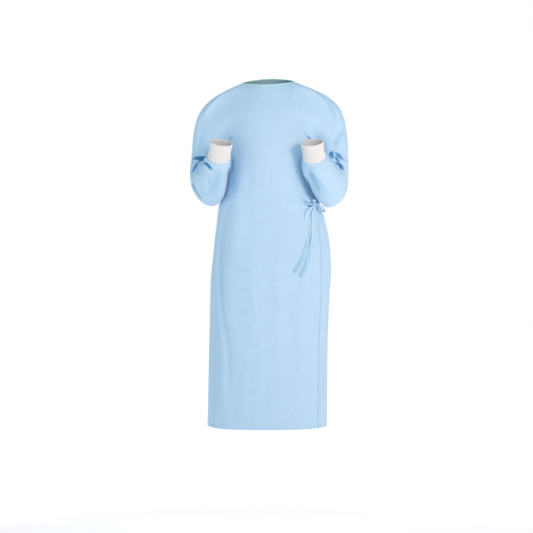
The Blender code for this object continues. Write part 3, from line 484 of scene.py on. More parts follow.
# Studio
FLOOR_HEIGHT = -1.59  # under the wearer's feet
FLOOR_RADIUS = 14
GLOW_NEAR = (0.06, 0.05, 0.04, 1.0)  # the floor's own light in front of the gown, and behind it
GLOW_FAR = (0.64, 0.56, 0.48, 1.0)
GLOW_SHIFT = (0, 1.6, 0)  # brings the place in front of the gown to nought
GLOW_REACH = (0.8, 2.6)  # how far from there the one turns into the other
HEM_STRETCH = (0.4, 1, 0)  # and the place beneath the hem, a long oval
HEM_SHIFT = (0.02, 0.05, 0)
HEM_REACH = (0.0, 0.42)
HEM_GLOW = 0.36  # how much whiter it glows there: painted light that lifts the gown's shadow on the floor
WHITE = (1.0, 1.0, 1.0, 1.0)
SKY_TINT = (0.71, 0.86, 1.0, 1.0)
LIGHT_AIM = (0.0, 0.0, -0.50)
Lamp = namedtuple("Lamp", "name power place size tint")
LAMPS = table_of(
    Lamp,
    ("key_light", "key_power", (1.50, -3.00, 0.10), 0.8, (1.0, 0.71, 0.60)),
    ("fill_light", "fill_power", (-1.8, -2.8, -0.3), 2.2, (1.0, 1.0, 1.0)),
)
CAMERA_PLACE = (-0.009, -4.2, -0.662)
CAMERA_LENS = 79.9


def ease(share):
    """0 to 1 with a soft start and end: 3 s^2 - 2 s^3."""
    share = np.clip(share, 0.0, 1.0)
    return share * share * (3 - 2 * share)


def bell(away):
    """A bell curve: exp(-x^2)."""
    return np.exp(-(away**2))


def faded(share, fade):
    """1 along a length, dying out softly over the same share of it at each end."""
    return ease(share / fade) * ease((1 - share) / fade)


def hermite(start, leave, end, arrive, s):
    """A cubic from start to end, with the tangents leave and arrive."""
    rise = s * s * (3 - 2 * s)
    return start * (1 - rise) + leave * s * (1 - s) ** 2 + end * rise + arrive * s * s * (s - 1)


def smooth_through(x, y, at):
    """A curve through the points (x, y) with no overshoot: cubics, with the harmonic means of the steps' slopes."""
    x, y = np.asarray(x, float), np.asarray(y, float)
    steps = np.diff(x)
    slopes = np.diff(y) / steps
    before, after = slopes[:-1], slopes[1:]
    same_way = before * after > 0
    middle = np.where(same_way, 2 * before * after / np.where(same_way, before + after, 1), 0)
    tangents = np.concatenate([slopes[:1], middle, slopes[-1:]])
    at = np.clip(np.asarray(at, float), x[0], x[-1])
    i = np.clip(np.searchsorted(x, at, side="right") - 1, 0, len(x) - 2)
    h = steps[i]
    return hermite(y[i], h * tangents[i], y[i + 1], h * tangents[i + 1], (at - x[i]) / h)


def along(table, key, name, at):
    """A smooth curve through one column of a table, read at values of its key column."""
    return smooth_through([getattr(row, key) for row in table], [getattr(row, name) for row in table], at)


def unit(vector):
    return vector / np.linalg.norm(vector, axis=-1, keepdims=True)


def angle_between(first, second):
    """Difference of two turns in degrees, from -180 to 180."""
    return (first - second + 180) % 360 - 180


def drape(turn, drop):
    """Height of the body's folds: each a bell curve round the body, faded in and out down it."""
    depth = bpy.context.scene.gown_sizes.fold_depth
    height = np.zeros(np.broadcast(turn, drop).shape)
    for fold in BODY_FOLDS + FINE_FOLDS:
        share = (drop - fold.top) / (fold.bottom - fold.top)
        away = angle_between(turn, fold.turn + fold.lean * share) / fold.spread
        height += fold.height * depth * faded(share, FOLD_FADE) * bell(away)
    return height


def body_point(turn, drop, stand_off=0.0):
    """Point of the body's surface. At each drop it is a superellipse, (|x| / w)^p + (|y| / d)^p = 1, plus the folds."""
    turn, drop = np.broadcast_arrays(np.asarray(turn, float), np.asarray(drop, float))
    sine, cosine = np.sin(np.radians(turn)), np.cos(np.radians(turn))
    front, back = (along(BODY_RINGS, "drop", name, drop) for name in ("front", "back"))
    depth = np.where(cosine > 0, front, back)
    power = along(BODY_RINGS, "drop", "squareness", drop)
    across = np.abs(sine) / along(BODY_RINGS, "drop", "half_width", drop)
    radius = (across**power + (np.abs(cosine) / depth) ** power) ** (-1 / power)
    radius = radius + drape(turn, drop) + stand_off
    x = radius * sine + along(BODY_RINGS, "drop", "shift", drop)
    neckline = NECK_FRONT_HEIGHT + (NECK_BACK_HEIGHT - NECK_FRONT_HEIGHT) * (1 - cosine) / 2
    lean = SHOULDER_LEAN * x * (1 - ease(drop / LEAN_FADE))
    z = neckline * (1 - ease(drop / NECK_FADE)) + lean - drop
    return np.stack([x, -radius * cosine, z], axis=-1)


def surface_frame(turn, drop, stand_off=0.0):
    """Point, outward normal, downward way and way round of the body's surface, by small steps each way."""
    point = body_point(turn, drop, stand_off)
    round_way = unit(body_point(turn + WAY_TURN, drop, stand_off) - point)
    down_way = unit(body_point(turn, drop + WAY_DROP, stand_off) - point)
    return point, unit(np.cross(down_way, round_way)), down_way, round_way


def turn_at(out, drop):
    """The turn at which the front of the body is this far out, found by halving, for whole arrays at once."""
    low, high = np.zeros_like(drop), np.full_like(drop, 90.0)
    for _ in range(HALVINGS):
        middle = (low + high) / 2
        short = body_point(middle, drop)[..., 0] < out
        low, high = np.where(short, middle, low), np.where(short, high, middle)
    return (low + high) / 2


def grid_normals(points, closed, flip):
    """Outward normals of a grid of points: the cross product of the ways down and round."""
    down = np.gradient(points, axis=0)
    if closed:
        around = np.gradient(np.concatenate([points[:, -1:], points, points[:, :1]], axis=1), axis=1)[:, 1:-1]
    else:
        around = np.gradient(points, axis=1)
    return unit(np.cross(down, around)) * (-1 if flip else 1)


def smooth_path(places):
    """A smooth row of places through a crease's few, one column for each of its two measures."""
    places = np.asarray(places, float)
    at = np.linspace(0, len(places) - 1, PATH_POINTS)
    return [smooth_through(np.arange(len(places)), column, at) for column in places.T]


def crease_offset(points, normals, creases, locate):
    """How creases move a surface's points: in or out by a bell curve of the distance to each crease's path, beside it
    a second one for its lip, and the lip leans over the crease. Also how deep the creases lie, without their lips."""
    depth = bpy.context.scene.gown_sizes.fold_depth
    offset, sunk = np.zeros(points.shape), np.zeros(points.shape[:2])
    for crease in creases:
        path = locate(*smooth_path(crease.path))
        span = CREASE_REACH * crease.spread
        inside = ((points > path.min(axis=0) - span) & (points < path.max(axis=0) + span)).all(axis=-1)
        place, normal = points[inside], normals[inside]
        start, step = path[:-1], np.diff(path, axis=0)
        share = ((place[:, None] - start) * step).sum(-1) / (step * step).sum(-1)
        share = np.clip(share, 0, 1)
        beside = place[:, None] - start - share[..., None] * step
        nearest = np.linalg.norm(beside, axis=-1).argmin(axis=1)
        row = np.arange(len(place))
        beside = beside[row, nearest]
        away = np.linalg.norm(beside, axis=-1) / crease.spread
        side = np.sign((np.cross(step[nearest], beside) * normal).sum(-1))
        done = (nearest + share[row, nearest]) / len(step)
        window = depth * faded(done, crease.fade)
        lip = bell((side * away + LIP_PLACE) / LIP_SPREAD)
        own = window * crease.height * bell(away)
        shape = own + window * crease.lip * lip
        lean = window * LEAN * abs(crease.height) * (crease.lip > 0) * lip
        lean = lean / np.maximum(away, LEAN_NEAR) / crease.spread
        offset[inside] += normal * shape[:, None] - beside * lean[:, None]
        sunk[inside] -= np.minimum(own, 0)
    return offset, sunk


def edge_roll(away):
    """A sewn edge: it swells in a bell curve beside the seam."""
    return SEWN_SWELL * bell((away - SEWN_AWAY) / SEWN_SPREAD)


def seam_allowance(points, normals, share):
    """The first row or column of a grid once more, on under its neighbour by a share of the seam's allowance."""
    onward = unit(points[0] - points[1]) * (SEAM_ALLOWANCE * share)[:, None]
    under = points[0] + onward - normals[0] * (SEAM_SINK * share)[:, None]
    return np.concatenate([under[None], points])


def hem_line(away):
    """The stitched line of a turned hem, a hem's depth above the edge, and the doubled cloth below it."""
    depth = bpy.context.scene.gown_sizes.hem_depth
    line = -HEM_STITCH * bell((away - depth) / HEM_STITCH_SPREAD)
    return line + HEM_DOUBLE * ease((depth - away) / HEM_DOUBLE_FADE)


def row_lengths(points):
    """Running length along each row of a grid."""
    steps = np.linalg.norm(np.diff(points, axis=1), axis=-1)
    return np.concatenate([np.zeros((len(points), 1)), np.cumsum(steps, axis=1)], axis=1)


def panel_rows(edge_name):
    """The drops at the middle and at the seam of each row, and the seam's turn, from the neckline to the hem."""
    depth = bpy.context.scene.gown_sizes.hem_depth
    hem_top = GOWN_LENGTH - HEM_CLOSE * depth
    skirt = np.linspace(UNDERARM_DROP, hem_top, SKIRT_STEPS + 1)[1:]
    skirt = np.concatenate([skirt, np.linspace(hem_top, GOWN_LENGTH, HEM_STEPS + 1)[1:]])
    raglan_share = np.linspace(0, 1, RAGLAN_STEPS + 1)
    seam_drop = np.concatenate([along(RAGLAN, "share", "drop", raglan_share), skirt])
    turns = np.concatenate([along(RAGLAN, "share", edge_name, raglan_share), np.full(len(skirt), 90.0)])
    middle_drop = np.concatenate([raglan_share * UNDERARM_DROP, skirt])
    return middle_drop, seam_drop, turns


def finished_panel(base, lifted, drop, from_seam, flip):
    """A panel with its creases, sewn edges and hem, and how deep its creases lie."""
    normals = grid_normals(lifted, False, flip)
    sewn = edge_roll(from_seam) + hem_line(GOWN_LENGTH - drop)
    offset, sunk = crease_offset(base, normals, BODY_CREASES, body_point)
    return lifted + offset + normals * sewn[..., None], sunk


def front_grid():
    """The front panel: the body's surface between the two raglan seams, and between the sides below them."""
    middle_drop, seam_drop, turns = panel_rows("front_turn")
    share = np.linspace(-1, 1, 2 * round(90 / PANEL_TURN) + 1)[None, :]
    turn = share * turns[:, None]
    drop = middle_drop[:, None] + (seam_drop - middle_drop)[:, None] * ease(np.abs(share))
    points = body_point(turn, drop)
    run = row_lengths(points)
    return finished_panel(points, points, drop, np.minimum(run, run[:, -1:] - run), False)


def outer_lap(turn, drop, start, far):
    """How far the outer back panel stands off: more at the neck, less along its free edge."""
    lift = LAP + (NECK_LAP - LAP) * (1 - ease(drop / NECK_LAP_FADE))
    lift = lift * ease((turn - start) / (LAP_FULL_TURN - start))
    down = ease((turn - far + EDGE_DOWN) / EDGE_DOWN)
    return lift - (lift - EDGE_LAP) * down * ease((drop - EDGE_DOWN_TOP) / EDGE_DOWN_FADE)


def no_lap(turn, drop, start, far):
    return np.zeros(np.broadcast(turn, drop).shape)


def back_grid(side, edge_name, lap):
    """A back panel from its own side seam, past the back's middle, to its free edge. A lap lifts it off what is under
    it."""
    middle_drop, seam_drop, turns = panel_rows("back_turn")
    far = along(BACK_EDGES, "drop", edge_name, middle_drop)[:, None]
    share = np.linspace(0, 1, round((far[-1, 0] - 90) / PANEL_TURN) + 1)[None, :]
    start = turns[:, None]
    turn = start + (far - start) * share
    drop = seam_drop[:, None] + (middle_drop - seam_drop)[:, None] * ease(share * 2)
    base = body_point(side * turn, drop)
    lifted = body_point(side * turn, drop, lap(turn, drop, start, far))
    run = row_lengths(base)
    points, sunk = finished_panel(base, lifted, drop, run, side < 0)
    normals = grid_normals(points, False, side < 0)
    return points + normals * hem_line(run[:, -1:] - run)[..., None], sunk


def arm_frames(stage):
    """Centre of the arm at each stage, the way from the crook to it, and the way to the outside: a line, a circle
    round the crook, then a much larger circle."""
    upper = unit(UPPER_ARM)
    outside = unit(np.cross(FOREARM, upper))
    ahead = np.cross(upper, outside)  # square to the upper arm, from it to the crook
    bend = BEND_TURN * np.clip(stage - 1, 0, 1)[..., None]
    full_run = FOREARM_RUN + CUFF_LENGTH
    run = FOREARM_RUN * np.clip(stage - 2, 0, 1) + CUFF_LENGTH * np.clip(stage - 3, 0, 1)
    turn = bend + FOREARM_TURN * (run / full_run)[..., None]
    from_crook = upper * np.sin(turn) - ahead * np.cos(turn)
    at_bend = upper * np.sin(bend) - ahead * np.cos(bend)
    soft_radius = full_run / FOREARM_TURN
    centre = CROOK + BEND_RADIUS * at_bend + soft_radius * (from_crook - at_bend)
    return centre - upper * (UPPER_RUN * np.clip(1 - stage, 0, 1))[..., None], from_crook, outside


def tube_rings(stages, angles, sizes, arm):
    """Rings of the bent arm, each of four quarter ellipses: angle 0 is outside, 90 the crook's side, 180 the body's."""
    centre, from_crook, outside = arm_frames(stages)
    hand = arm.hand_out * np.clip(stages - 1, 0, 2) / 2
    elbow = arm.elbow_out * bell((stages - ELBOW_STAGE) / ELBOW_SPREAD)
    centre = centre + (hand + elbow)[:, None] * np.array([1.0, 0.0, 0.0])
    cosine, sine = np.cos(np.radians(angles)), np.sin(np.radians(angles))
    crook_side, far_side, outer, inner = (size[:, None] for size in sizes)
    sideways = (np.where(cosine > 0, outer, inner) * cosine)[..., None] * outside
    forwards = (np.where(sine > 0, crook_side, far_side) * sine)[..., None] * from_crook[:, None, :]
    return centre[:, None, :] + sideways - forwards


def ring_ways(rings):
    """Ways out from each ring's own middle."""
    return unit(rings - rings.mean(axis=1, keepdims=True))


def ring_sizes(table, key, at):
    return [along(table, key, name, at) for name in ("crook_side", "far_side", "outside", "body_side")]


def mirrored(points, side):
    """Points or ways given outwards, back and up, on the wearer's left (1) or right (-1)."""
    return np.asarray(points, float) * np.array([side, 1.0, 1.0])


def swell(side, stage, angle):
    """Height of a sleeve's large folds: bell curves round it and along it, slanted."""
    height = np.zeros(np.broadcast(stage, angle).shape)
    for fold in SLEEVE_CREASES:
        if fold.side != -side:
            away_round = angle_between(angle, fold.angle) / fold.round
            away_along = (stage - fold.stage) / fold.along - fold.slant * away_round
            height += fold.height * np.exp(-(away_round**2) - away_along**2)
    return height


def under_arm(place):
    """How much of the underarm's own course each place of a sleeve's seam takes."""
    return ease((place - UNDER_PLACE) / (SEAM_PLACES - UNDER_PLACE))[:, None]


def raglan_half(arm, edge_name, sign, count):
    """Half of the sleeve's seam from the shoulder line to the underarm, and the way the cloth leaves it: away from the
    neck at the neckline, round the body along the raglan seam, and down and out under the arm."""
    side = arm.side
    place = np.linspace(0, SEAM_PLACES, count + 1)
    share = np.clip((place - SHOULDER_PLACE) / (SEAM_PLACES - SHOULDER_PLACE), 0, 1)
    at_neck = place < SHOULDER_PLACE
    drop = np.where(at_neck, 0.0, along(RAGLAN, "share", "drop", share))
    raglan_turn = along(RAGLAN, "share", edge_name, share)
    neck_turn = 90 + (raglan_turn - 90) * np.minimum(place, SHOULDER_PLACE) / SHOULDER_PLACE
    turn = np.where(at_neck, neck_turn, raglan_turn)
    point, _, _, round_way = surface_frame(side * turn, drop)
    level, fall = math.cos(arm.slope), math.sin(arm.slope)
    angle = np.radians(turn)
    from_neck = np.stack([level * np.sin(angle), -level * np.cos(angle), np.full_like(angle, -fall)], axis=-1)
    neck_share = ease((NECK_WAY_END - place) / NECK_WAY_FADE)[:, None]
    under_share = under_arm(place)
    way = mirrored(from_neck, side) * neck_share + side * sign * round_way * (1 - neck_share)
    way = unit(way * (1 - under_share) + mirrored(UNDERARM_WAY, side) * under_share)
    return point + under_share * mirrored([UNDERARM_STEP, 0.0, 0.0], side), way


def reach(shoulder, level):
    """A reach round the sleeve: over the shoulder (level 0), at the seam's front and back (1), and underneath (2)."""
    return shoulder + (SEAM_REACH - shoulder) * ease(level) + (UNDERARM_REACH - SEAM_REACH) * ease(level - 1)


def sleeve_angles():
    return np.concatenate([np.linspace(0, 180, SLEEVE_FRONT + 1), np.linspace(180, 360, SLEEVE_BACK + 1)[1:-1]])


def sleeve_grid(arm):
    """A raglan sleeve: cubics from the seam's loop to the underarm ring, then rings round the elbow to the cuff, with
    its folds, its creases, the sewn edge and the gathers into the cuff."""
    angles = sleeve_angles()
    upper = np.linspace(0, 1, UPPER_STEPS + 1)[:-1]
    bend = 1 + np.linspace(0, 1, ELBOW_STEPS + 1)
    stages = np.concatenate([upper, bend, 2 + np.linspace(0, 1, FOREARM_STEPS + 1)[1:]])
    rings = tube_rings(stages, angles, ring_sizes(arm.rings, "stage", stages), arm)
    rings = mirrored(rings + ring_ways(rings) * swell(arm.side, stages[:, None], angles)[..., None], arm.side)
    front, front_way = raglan_half(arm, "front_turn", 1, SLEEVE_FRONT)
    back, back_way = raglan_half(arm, "back_turn", -1, SLEEVE_BACK)
    loop = np.concatenate([front, back[-2:0:-1]])
    way = np.concatenate([front_way, back_way[-2:0:-1]])
    first = rings[0]
    chord = np.linalg.norm(first - loop, axis=1, keepdims=True)
    level = np.abs(angle_between(angles, 0))[:, None] / 90
    leave = way * chord * reach(arm.leave, level)
    arrive = mirrored(unit(UPPER_ARM), arm.side) * chord * reach(arm.arrive, level)
    s = np.linspace(0, 1, YOKE_STEPS + 1)[:-1]
    points = np.concatenate([hermite(loop, leave, first, arrive, s[:, None, None]), rings])
    stages = np.concatenate([s - 1, stages])

    def locate(stage, angle):
        """Points of the sleeve's surface, between the grid's own."""
        row = np.interp(stage, stages, np.arange(len(stages)))
        column = np.interp(angle % 360, np.append(angles, 360), np.arange(len(angles) + 1))
        top, left = np.minimum(row.astype(int), len(stages) - 2), column.astype(int) % len(angles)
        down, across = (row - top)[:, None], (column - column.astype(int))[:, None]
        right = (left + 1) % len(angles)
        upper_row = points[top, left] * (1 - across) + points[top, right] * across
        lower_row = points[top + 1, left] * (1 - across) + points[top + 1, right] * across
        return upper_row * (1 - down) + lower_row * down

    normals = grid_normals(points, True, arm.side > 0)
    creases = [crease for crease in SLEEVE_PATHS if crease.side != -arm.side]
    run = np.linalg.norm(points - points[:1], axis=-1)
    offset = edge_roll(np.where(stages[:, None] < 0, run, 1.0))
    to_cuff = FOREARM_RUN * (3 - stages)[:, None]
    waves = sum(size * np.sin(np.radians(angles) * count + phase) for count, phase, size in CUFF_GATHERS)
    gathers = GATHER_HEIGHT * waves * bell((to_cuff - GATHER_PLACE) / GATHER_SPREAD) * ease(to_cuff / GATHER_START)
    offset = offset + gathers - CUFF_SEAM_DIP * bell(to_cuff / CUFF_SEAM_SPREAD)
    creased, sunk = crease_offset(points, normals, creases, locate)
    return points + creased + normals * offset[..., None], sunk


def sleeve_cloth(arm):
    """A sleeve with its seam allowance under the panels, none at the neckline, and its end drawn in under the cuff.
    Under the arm the seam stands off the panels, so there the allowance comes back by as much to reach them."""
    (points, sunk), angles = sleeve_grid(arm), sleeve_angles()
    place = np.abs(angle_between(angles, 0)) / 180 * SEAM_PLACES
    share = NECK_ALLOWANCE + (1 - NECK_ALLOWANCE) * ease((place - SHOULDER_PLACE) / SHOULDER_FADE)
    points = seam_allowance(points, grid_normals(points, True, arm.side > 0), share)
    points[0] -= under_arm(place) * mirrored([UNDERARM_STEP, 0.0, 0.0], arm.side)
    at = np.array([WRIST_SHARE])
    wrist = tube_rings(3 + at, angles, ring_sizes(CUFF_RINGS, "share", at), arm)
    wrist = wrist - WRIST_INSET * ring_ways(wrist)
    return np.concatenate([points, mirrored(wrist, arm.side)]), np.concatenate([sunk[:1], sunk, sunk[-1:]])


def back_cloth(points, sunk, flip):
    """A back panel with its seam allowance under the front panel, below the underarm."""
    share = NECK_ALLOWANCE + (1 - NECK_ALLOWANCE) * ease((np.arange(len(points)) - RAGLAN_STEPS) / SIDE_FADE)
    normals = grid_normals(points, False, flip).swapaxes(0, 1)
    points = seam_allowance(points.swapaxes(0, 1), normals, share).swapaxes(0, 1)
    return points, np.concatenate([sunk[:, :1], sunk], axis=1)


def corners(grid, flip):
    """A grid's values at the four corners of each of its quads, the other way round if it is flipped."""
    quads = np.stack([grid[:-1, :-1], grid[1:, :-1], grid[1:, 1:], grid[:-1, 1:]], axis=-1).reshape(-1, 4)
    return quads[:, ::-1] if flip else quads


def wrapped(grid):
    """A grid with its first column once more at its end."""
    return np.concatenate([grid, grid[:, :1]], axis=1)


def smooth_mesh(name, points, faces):
    mesh = bpy.data.meshes.new(name)
    mesh.from_pydata(points.reshape(-1, 3).tolist(), [], faces)
    mesh.shade_smooth()
    return mesh


def map_cut(mesh, cut):
    """Writes the map "cut": one place for each corner of each face."""
    mesh.uv_layers.new(name="cut").uv.foreach_set("vector", cut.astype(np.float32).ravel())


def cloth_mesh(name, points, closed, flip, sunk=None):
    """A grid of points as a mesh of quads, with its own lengths across and down as the map "cut", in metres, and how
    deep its creases lie as the attribute "fold", from 0 to 1, which sets the painted shade in the folds."""
    wide = wrapped(points) if closed else points
    across = row_lengths(wide)
    across = across - across[:, across.shape[1] // 2, None]
    down = row_lengths(wide.swapaxes(0, 1)).T
    index = np.arange(points[..., 0].size).reshape(points.shape[:2])
    mesh = smooth_mesh(name, points, corners(wrapped(index) if closed else index, flip).tolist())
    map_cut(mesh, np.stack([corners(across, flip), corners(down, flip)], axis=-1))
    if sunk is not None:
        # painted shade: how dark each point's crease is painted
        fold = np.clip(sunk / FOLD_SHADE_FULL, 0, 1).astype(np.float32)
        mesh.attributes.new("fold", "FLOAT", "POINT").data.foreach_set("value", fold.ravel())
    return mesh


def new_piece(name, mesh, finish):
    """A piece of the gown that stands for its solid, hangs from the root body and takes its finish."""
    piece = bpy.data.objects.new(name + "_cloth", mesh)
    bpy.context.scene.collection.objects.link(piece)
    piece.data.materials.append(finish)
    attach(piece, "root")
    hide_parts(name)
    return piece


def cut_from(piece):
    """Returns the piece as it is."""
    return piece


def cloth_piece(name, points, thickness, finish, closed=False, flip=False, sunk=None):
    """A thin wall on both sides of a grid of points."""
    piece = new_piece(name, cloth_mesh(name, points, closed, flip, sunk), finish)
    wall = piece.modifiers.new("wall", "SOLIDIFY")
    wall.thickness = thickness
    wall.offset = 0
    return cut_from(piece)


def closed_skin(name, rings, finish, flip, ends=False):
    """A piece whose rings run round a closed profile, joined end to end or capped."""
    count, around = rings.shape[:2]
    index = wrapped(np.arange(count * around).reshape(count, around))
    if not ends:
        index = np.concatenate([index, index[:1]])
    faces = corners(index, flip).tolist()
    if ends:
        first, last = list(range(around)), list(range(count * around - 1, (count - 1) * around - 1, -1))
        faces += [first[::-1], last[::-1]] if flip else [first, last]
    return new_piece(name, smooth_mesh(name, rings, faces), finish)


def knit_cuff(arm, finish):
    """A rib knit tube: ellipses along the wrist, with the ribs as a cosine round the outside, a rounded top edge, and a
    plain inside."""
    sizes = bpy.context.scene.gown_sizes
    half = sizes.cuff_thickness / 2
    share = np.linspace(0, 1, CUFF_ROWS)
    angles = np.linspace(0, 360, CUFF_RIBS * RIB_COLUMNS, endpoint=False)
    middle = tube_rings(3 + CUFF_START + (1 - CUFF_START) * share, angles, ring_sizes(CUFF_RINGS, "share", share), arm)
    outward = ring_ways(middle)
    up = unit(np.gradient(middle, axis=0))
    ribs = np.cos(np.radians(angles) * CUFF_RIBS)[None, :]
    slouch = SLOUCH * np.sin(9 * share[:, None] + 1.3 * np.sin(np.radians(angles)))
    slouch = slouch * faded(share, SLOUCH_FADE)[:, None]
    tuck = CUFF_TUCK * bell(share / CUFF_TUCK_SHARE)[:, None]
    outer = middle + outward * (half + sizes.rib_height * ribs + slouch - tuck)[..., None]
    inner = middle + outward * (slouch - half - CUFF_TUCK_INSIDE * tuck)[..., None]
    swing = np.linspace(0, np.pi, LIP_POINTS + 2)[1:-1, None, None]
    lip = middle[-1] + outward[-1] * (half * np.cos(swing)) + up[-1] * (half * np.sin(swing))
    lip = lip + outward[-1] * (sizes.rib_height * ribs[0][:, None] * (1 + np.cos(swing)) / 2)
    skin = np.concatenate([outer, lip, inner[::-1]])
    piece = closed_skin("cuff_" + arm.name, mirrored(skin, arm.side), finish, arm.side > 0)
    run = np.concatenate([share, np.ones(LIP_POINTS), share[::-1]]) * CUFF_LENGTH
    place = np.stack(np.meshgrid(angles / 360, run), axis=-1).reshape(-1, 2)
    corner = np.empty(len(piece.data.loops), dtype=np.int32)
    piece.data.loops.foreach_get("vertex_index", corner)
    cut = place[corner].reshape(-1, 4, 2)
    wraps = cut[..., 0].max(axis=1) - cut[..., 0].min(axis=1) > 0.5
    cut[wraps, :, 0] = np.where(cut[wraps, :, 0] < 0.5, cut[wraps, :, 0] + 1, cut[wraps, :, 0])
    map_cut(piece.data, cut)
    return cut_from(piece)


def bound_neck(front, outer_back, inner_back, left_sleeve, right_sleeve, finish):
    """The neck binding: a rounded, upside-down U carried along the panels' own top edges."""
    sizes = bpy.context.scene.gown_sizes
    ahead, behind = (SHOULDER_PLACE * steps // SEAM_PLACES for steps in (SLEEVE_FRONT, SLEEVE_BACK))
    stretches = (
        outer_back[:3:2, ::-1],
        right_sleeve[:3:2, -behind:],
        right_sleeve[:3:2, : ahead + 1],
        front[:3:2],
        left_sleeve[:3:2, ahead::-1],
        left_sleeve[:3:2, : -behind - 1 : -1],
        inner_back[:3:2],
    )
    edge, below = np.concatenate(stretches, axis=1)
    step = np.linalg.norm(np.diff(edge, axis=0), axis=-1)
    keep = np.concatenate([[True], step > 1e-5])
    edge, down = edge[keep], unit(below - edge)[keep]
    forward = unit(np.gradient(edge, axis=0))
    down = smoothed(unit(down - forward * (down * forward).sum(-1, keepdims=True)))
    out = smoothed(unit(np.cross(forward, down)))
    inside = sizes.cloth_thickness / 2 + BINDING_CLEAR
    outside = inside + sizes.binding_thickness
    swing = np.linspace(0, np.pi, 9)
    arc = np.stack([np.cos(swing), -np.sin(swing)], axis=-1)
    rounded = [(outside * BINDING_ROUND, BINDING_DEPTH), (outside, BINDING_DEPTH * BINDING_ROUND)]
    outer = np.concatenate([rounded, outside * arc, [(-wide, deep) for wide, deep in reversed(rounded)]])
    inner = np.concatenate([[(-inside, BINDING_DEPTH)], inside * arc[::-1], [(inside, BINDING_DEPTH)]])
    profile = np.concatenate([outer, inner])
    count = np.arange(len(edge))
    ripple = BINDING_RIPPLE * np.sin(count * 1.9) * np.sin(count * 0.37)
    rings = edge[:, None] + profile[:, :1] * out[:, None] * (1 + ripple / outside)[:, None, None]
    rings = rings + profile[:, 1:] * down[:, None]
    piece = closed_skin("neck_binding", rings, finish, True, ends=True)
    return cut_from(piece)


def smoothed(ways):
    """Unit ways along a path, each averaged with its neighbours."""
    for _ in range(SMOOTH_PASSES):
        ways = np.concatenate([ways[:1], (ways[:-2] + 2 * ways[1:-1] + ways[2:]) / 4, ways[-1:]])
    return unit(ways)


def on_body(turn, drop, lift):
    """Points a lift above the body with its creases, and the ways out, down and round there."""
    turn, drop, lift = np.broadcast_arrays(*(np.asarray(value, float) for value in (turn, drop, lift)))
    shape = turn.shape
    point, out, down, round_way = surface_frame(turn, drop)
    flat, normal = point.reshape(1, -1, 3), out.reshape(1, -1, 3)
    sunk = (crease_offset(flat, normal, BODY_CREASES, body_point)[0] * normal).sum(-1).reshape(shape)
    return point + out * (lift + np.minimum(sunk, RIDGE_LIFT))[..., None], out, down, round_way


def ribbon(name, centre, across, width, finish, curl=0.0):
    """A strip of folded tie cloth along a line of centres: across it the middle swells and the two edges roll."""
    sizes = bpy.context.scene.gown_sizes
    steps = np.linspace(-1, 1, STRIP_POINTS)
    half = across * (TIE_WIDTH / 2 * width)[:, None]
    normal = unit(np.cross(np.gradient(centre, axis=0), across))
    bow = (STRAP_SWELL * (1 - steps**2) + curl * steps**3)[None, :, None]
    points = centre[:, None] + half[:, None] * steps[None, :, None] + normal[:, None] * bow
    return cloth_piece(name, points, sizes.tie_thickness, finish)


def knot_frame():
    """The knot's middle, and the ways out, down and round the body there."""
    middle, out, down, _ = surface_frame(KNOT_TURN, KNOT_DROP, KNOT_LIFT)
    return middle, out, down, unit(np.cross(out, down))


def strap(row, finish):
    """A strap from where it is sewn on, along the body, up to the knot's side."""
    middle, out, _, round_way = knot_frame()
    share = np.linspace(0, 1, STRAP_POINTS)
    turn = row.sewn_turn + (KNOT_TURN - row.sewn_turn) * share
    drop = row.sewn_drop + (KNOT_DROP - row.sewn_drop) * share
    centre, _, down, _ = on_body(turn, drop, row.rest)
    target = middle + row.side * round_way * (KNOT_SIZE[0] / 2 - ROOT_INSIDE) - out * STRAP_SINK
    near = ease((share - STRAP_NEAR) / (1 - STRAP_NEAR))
    centre = centre + (target - centre[-1]) * near[:, None]
    return ribbon(row.name, centre, down, 1 - (1 - PINCH) * near, finish)


def tail(row, finish):
    """A loose end of the bow, from under the knot down the skirt, through a short table of places."""
    middle, out, down, round_way = knot_frame()
    aside, forward = row.side * ROOT_ASIDE, row.side * ROOT_FORWARD
    s = np.linspace(0, 1, TAIL_POINTS) ** 1.2  # closer together near the knot
    outs, drops, lifts = (along(row.route, "share", column, s) for column in ("out", "drop", "lift"))
    centre, normal, _, _ = on_body(turn_at(outs, drops), drops, lifts)
    root = middle + down * (KNOT_SIZE[2] / 2 - ROOT_INSIDE) + round_way * aside + out * forward
    free = ease(s / TAIL_FREE)
    centre = centre + (root - centre[0]) * (1 - free)[:, None]
    centre = centre + normal * (TAIL_WAVE * np.sin(9 * s + 40 * aside) ** 2)[:, None]
    twist = row.curl * np.sin(5 * s + 60 * aside)[:, None]
    across = unit(np.cross(unit(np.gradient(centre, axis=0)), normal) + normal * twist)
    return ribbon(row.name, centre, across, PINCH + (1 - PINCH) * free, finish, TAIL_ROLL)


def bow_loop(loop, finish):
    """A loop of the bow: a teardrop, out from the knot along one layer and back along the other."""
    middle, out, down, round_way = knot_frame()
    way = unit(round_way * loop.round_share + down * loop.down_share + out * loop.out_share)
    root = round_way * KNOT_SIZE[0] / 2 if loop.from_side else -down * KNOT_SIZE[2] / 2
    flat_way = unit(np.cross(np.cross(way, out), way))
    swing = 2 * np.pi * np.linspace(0, 1, LOOP_POINTS)
    length = (1 - np.cos(swing)) / 2
    bow = LOOP_BOW * np.sin(swing) * (0.35 + 0.65 * length) + LOOP_ROOT * np.cos(swing / 2)
    start = middle + root * LOOP_INSIDE + out * LOOP_FORWARD
    centre = start + loop.length * length[:, None] * way + bow[:, None] * flat_way
    across = np.repeat(np.cross(way, flat_way)[None, :], len(swing), axis=0)
    return ribbon(loop.name, centre, across, PINCH + (1 - PINCH) * ease(length * 2), finish)


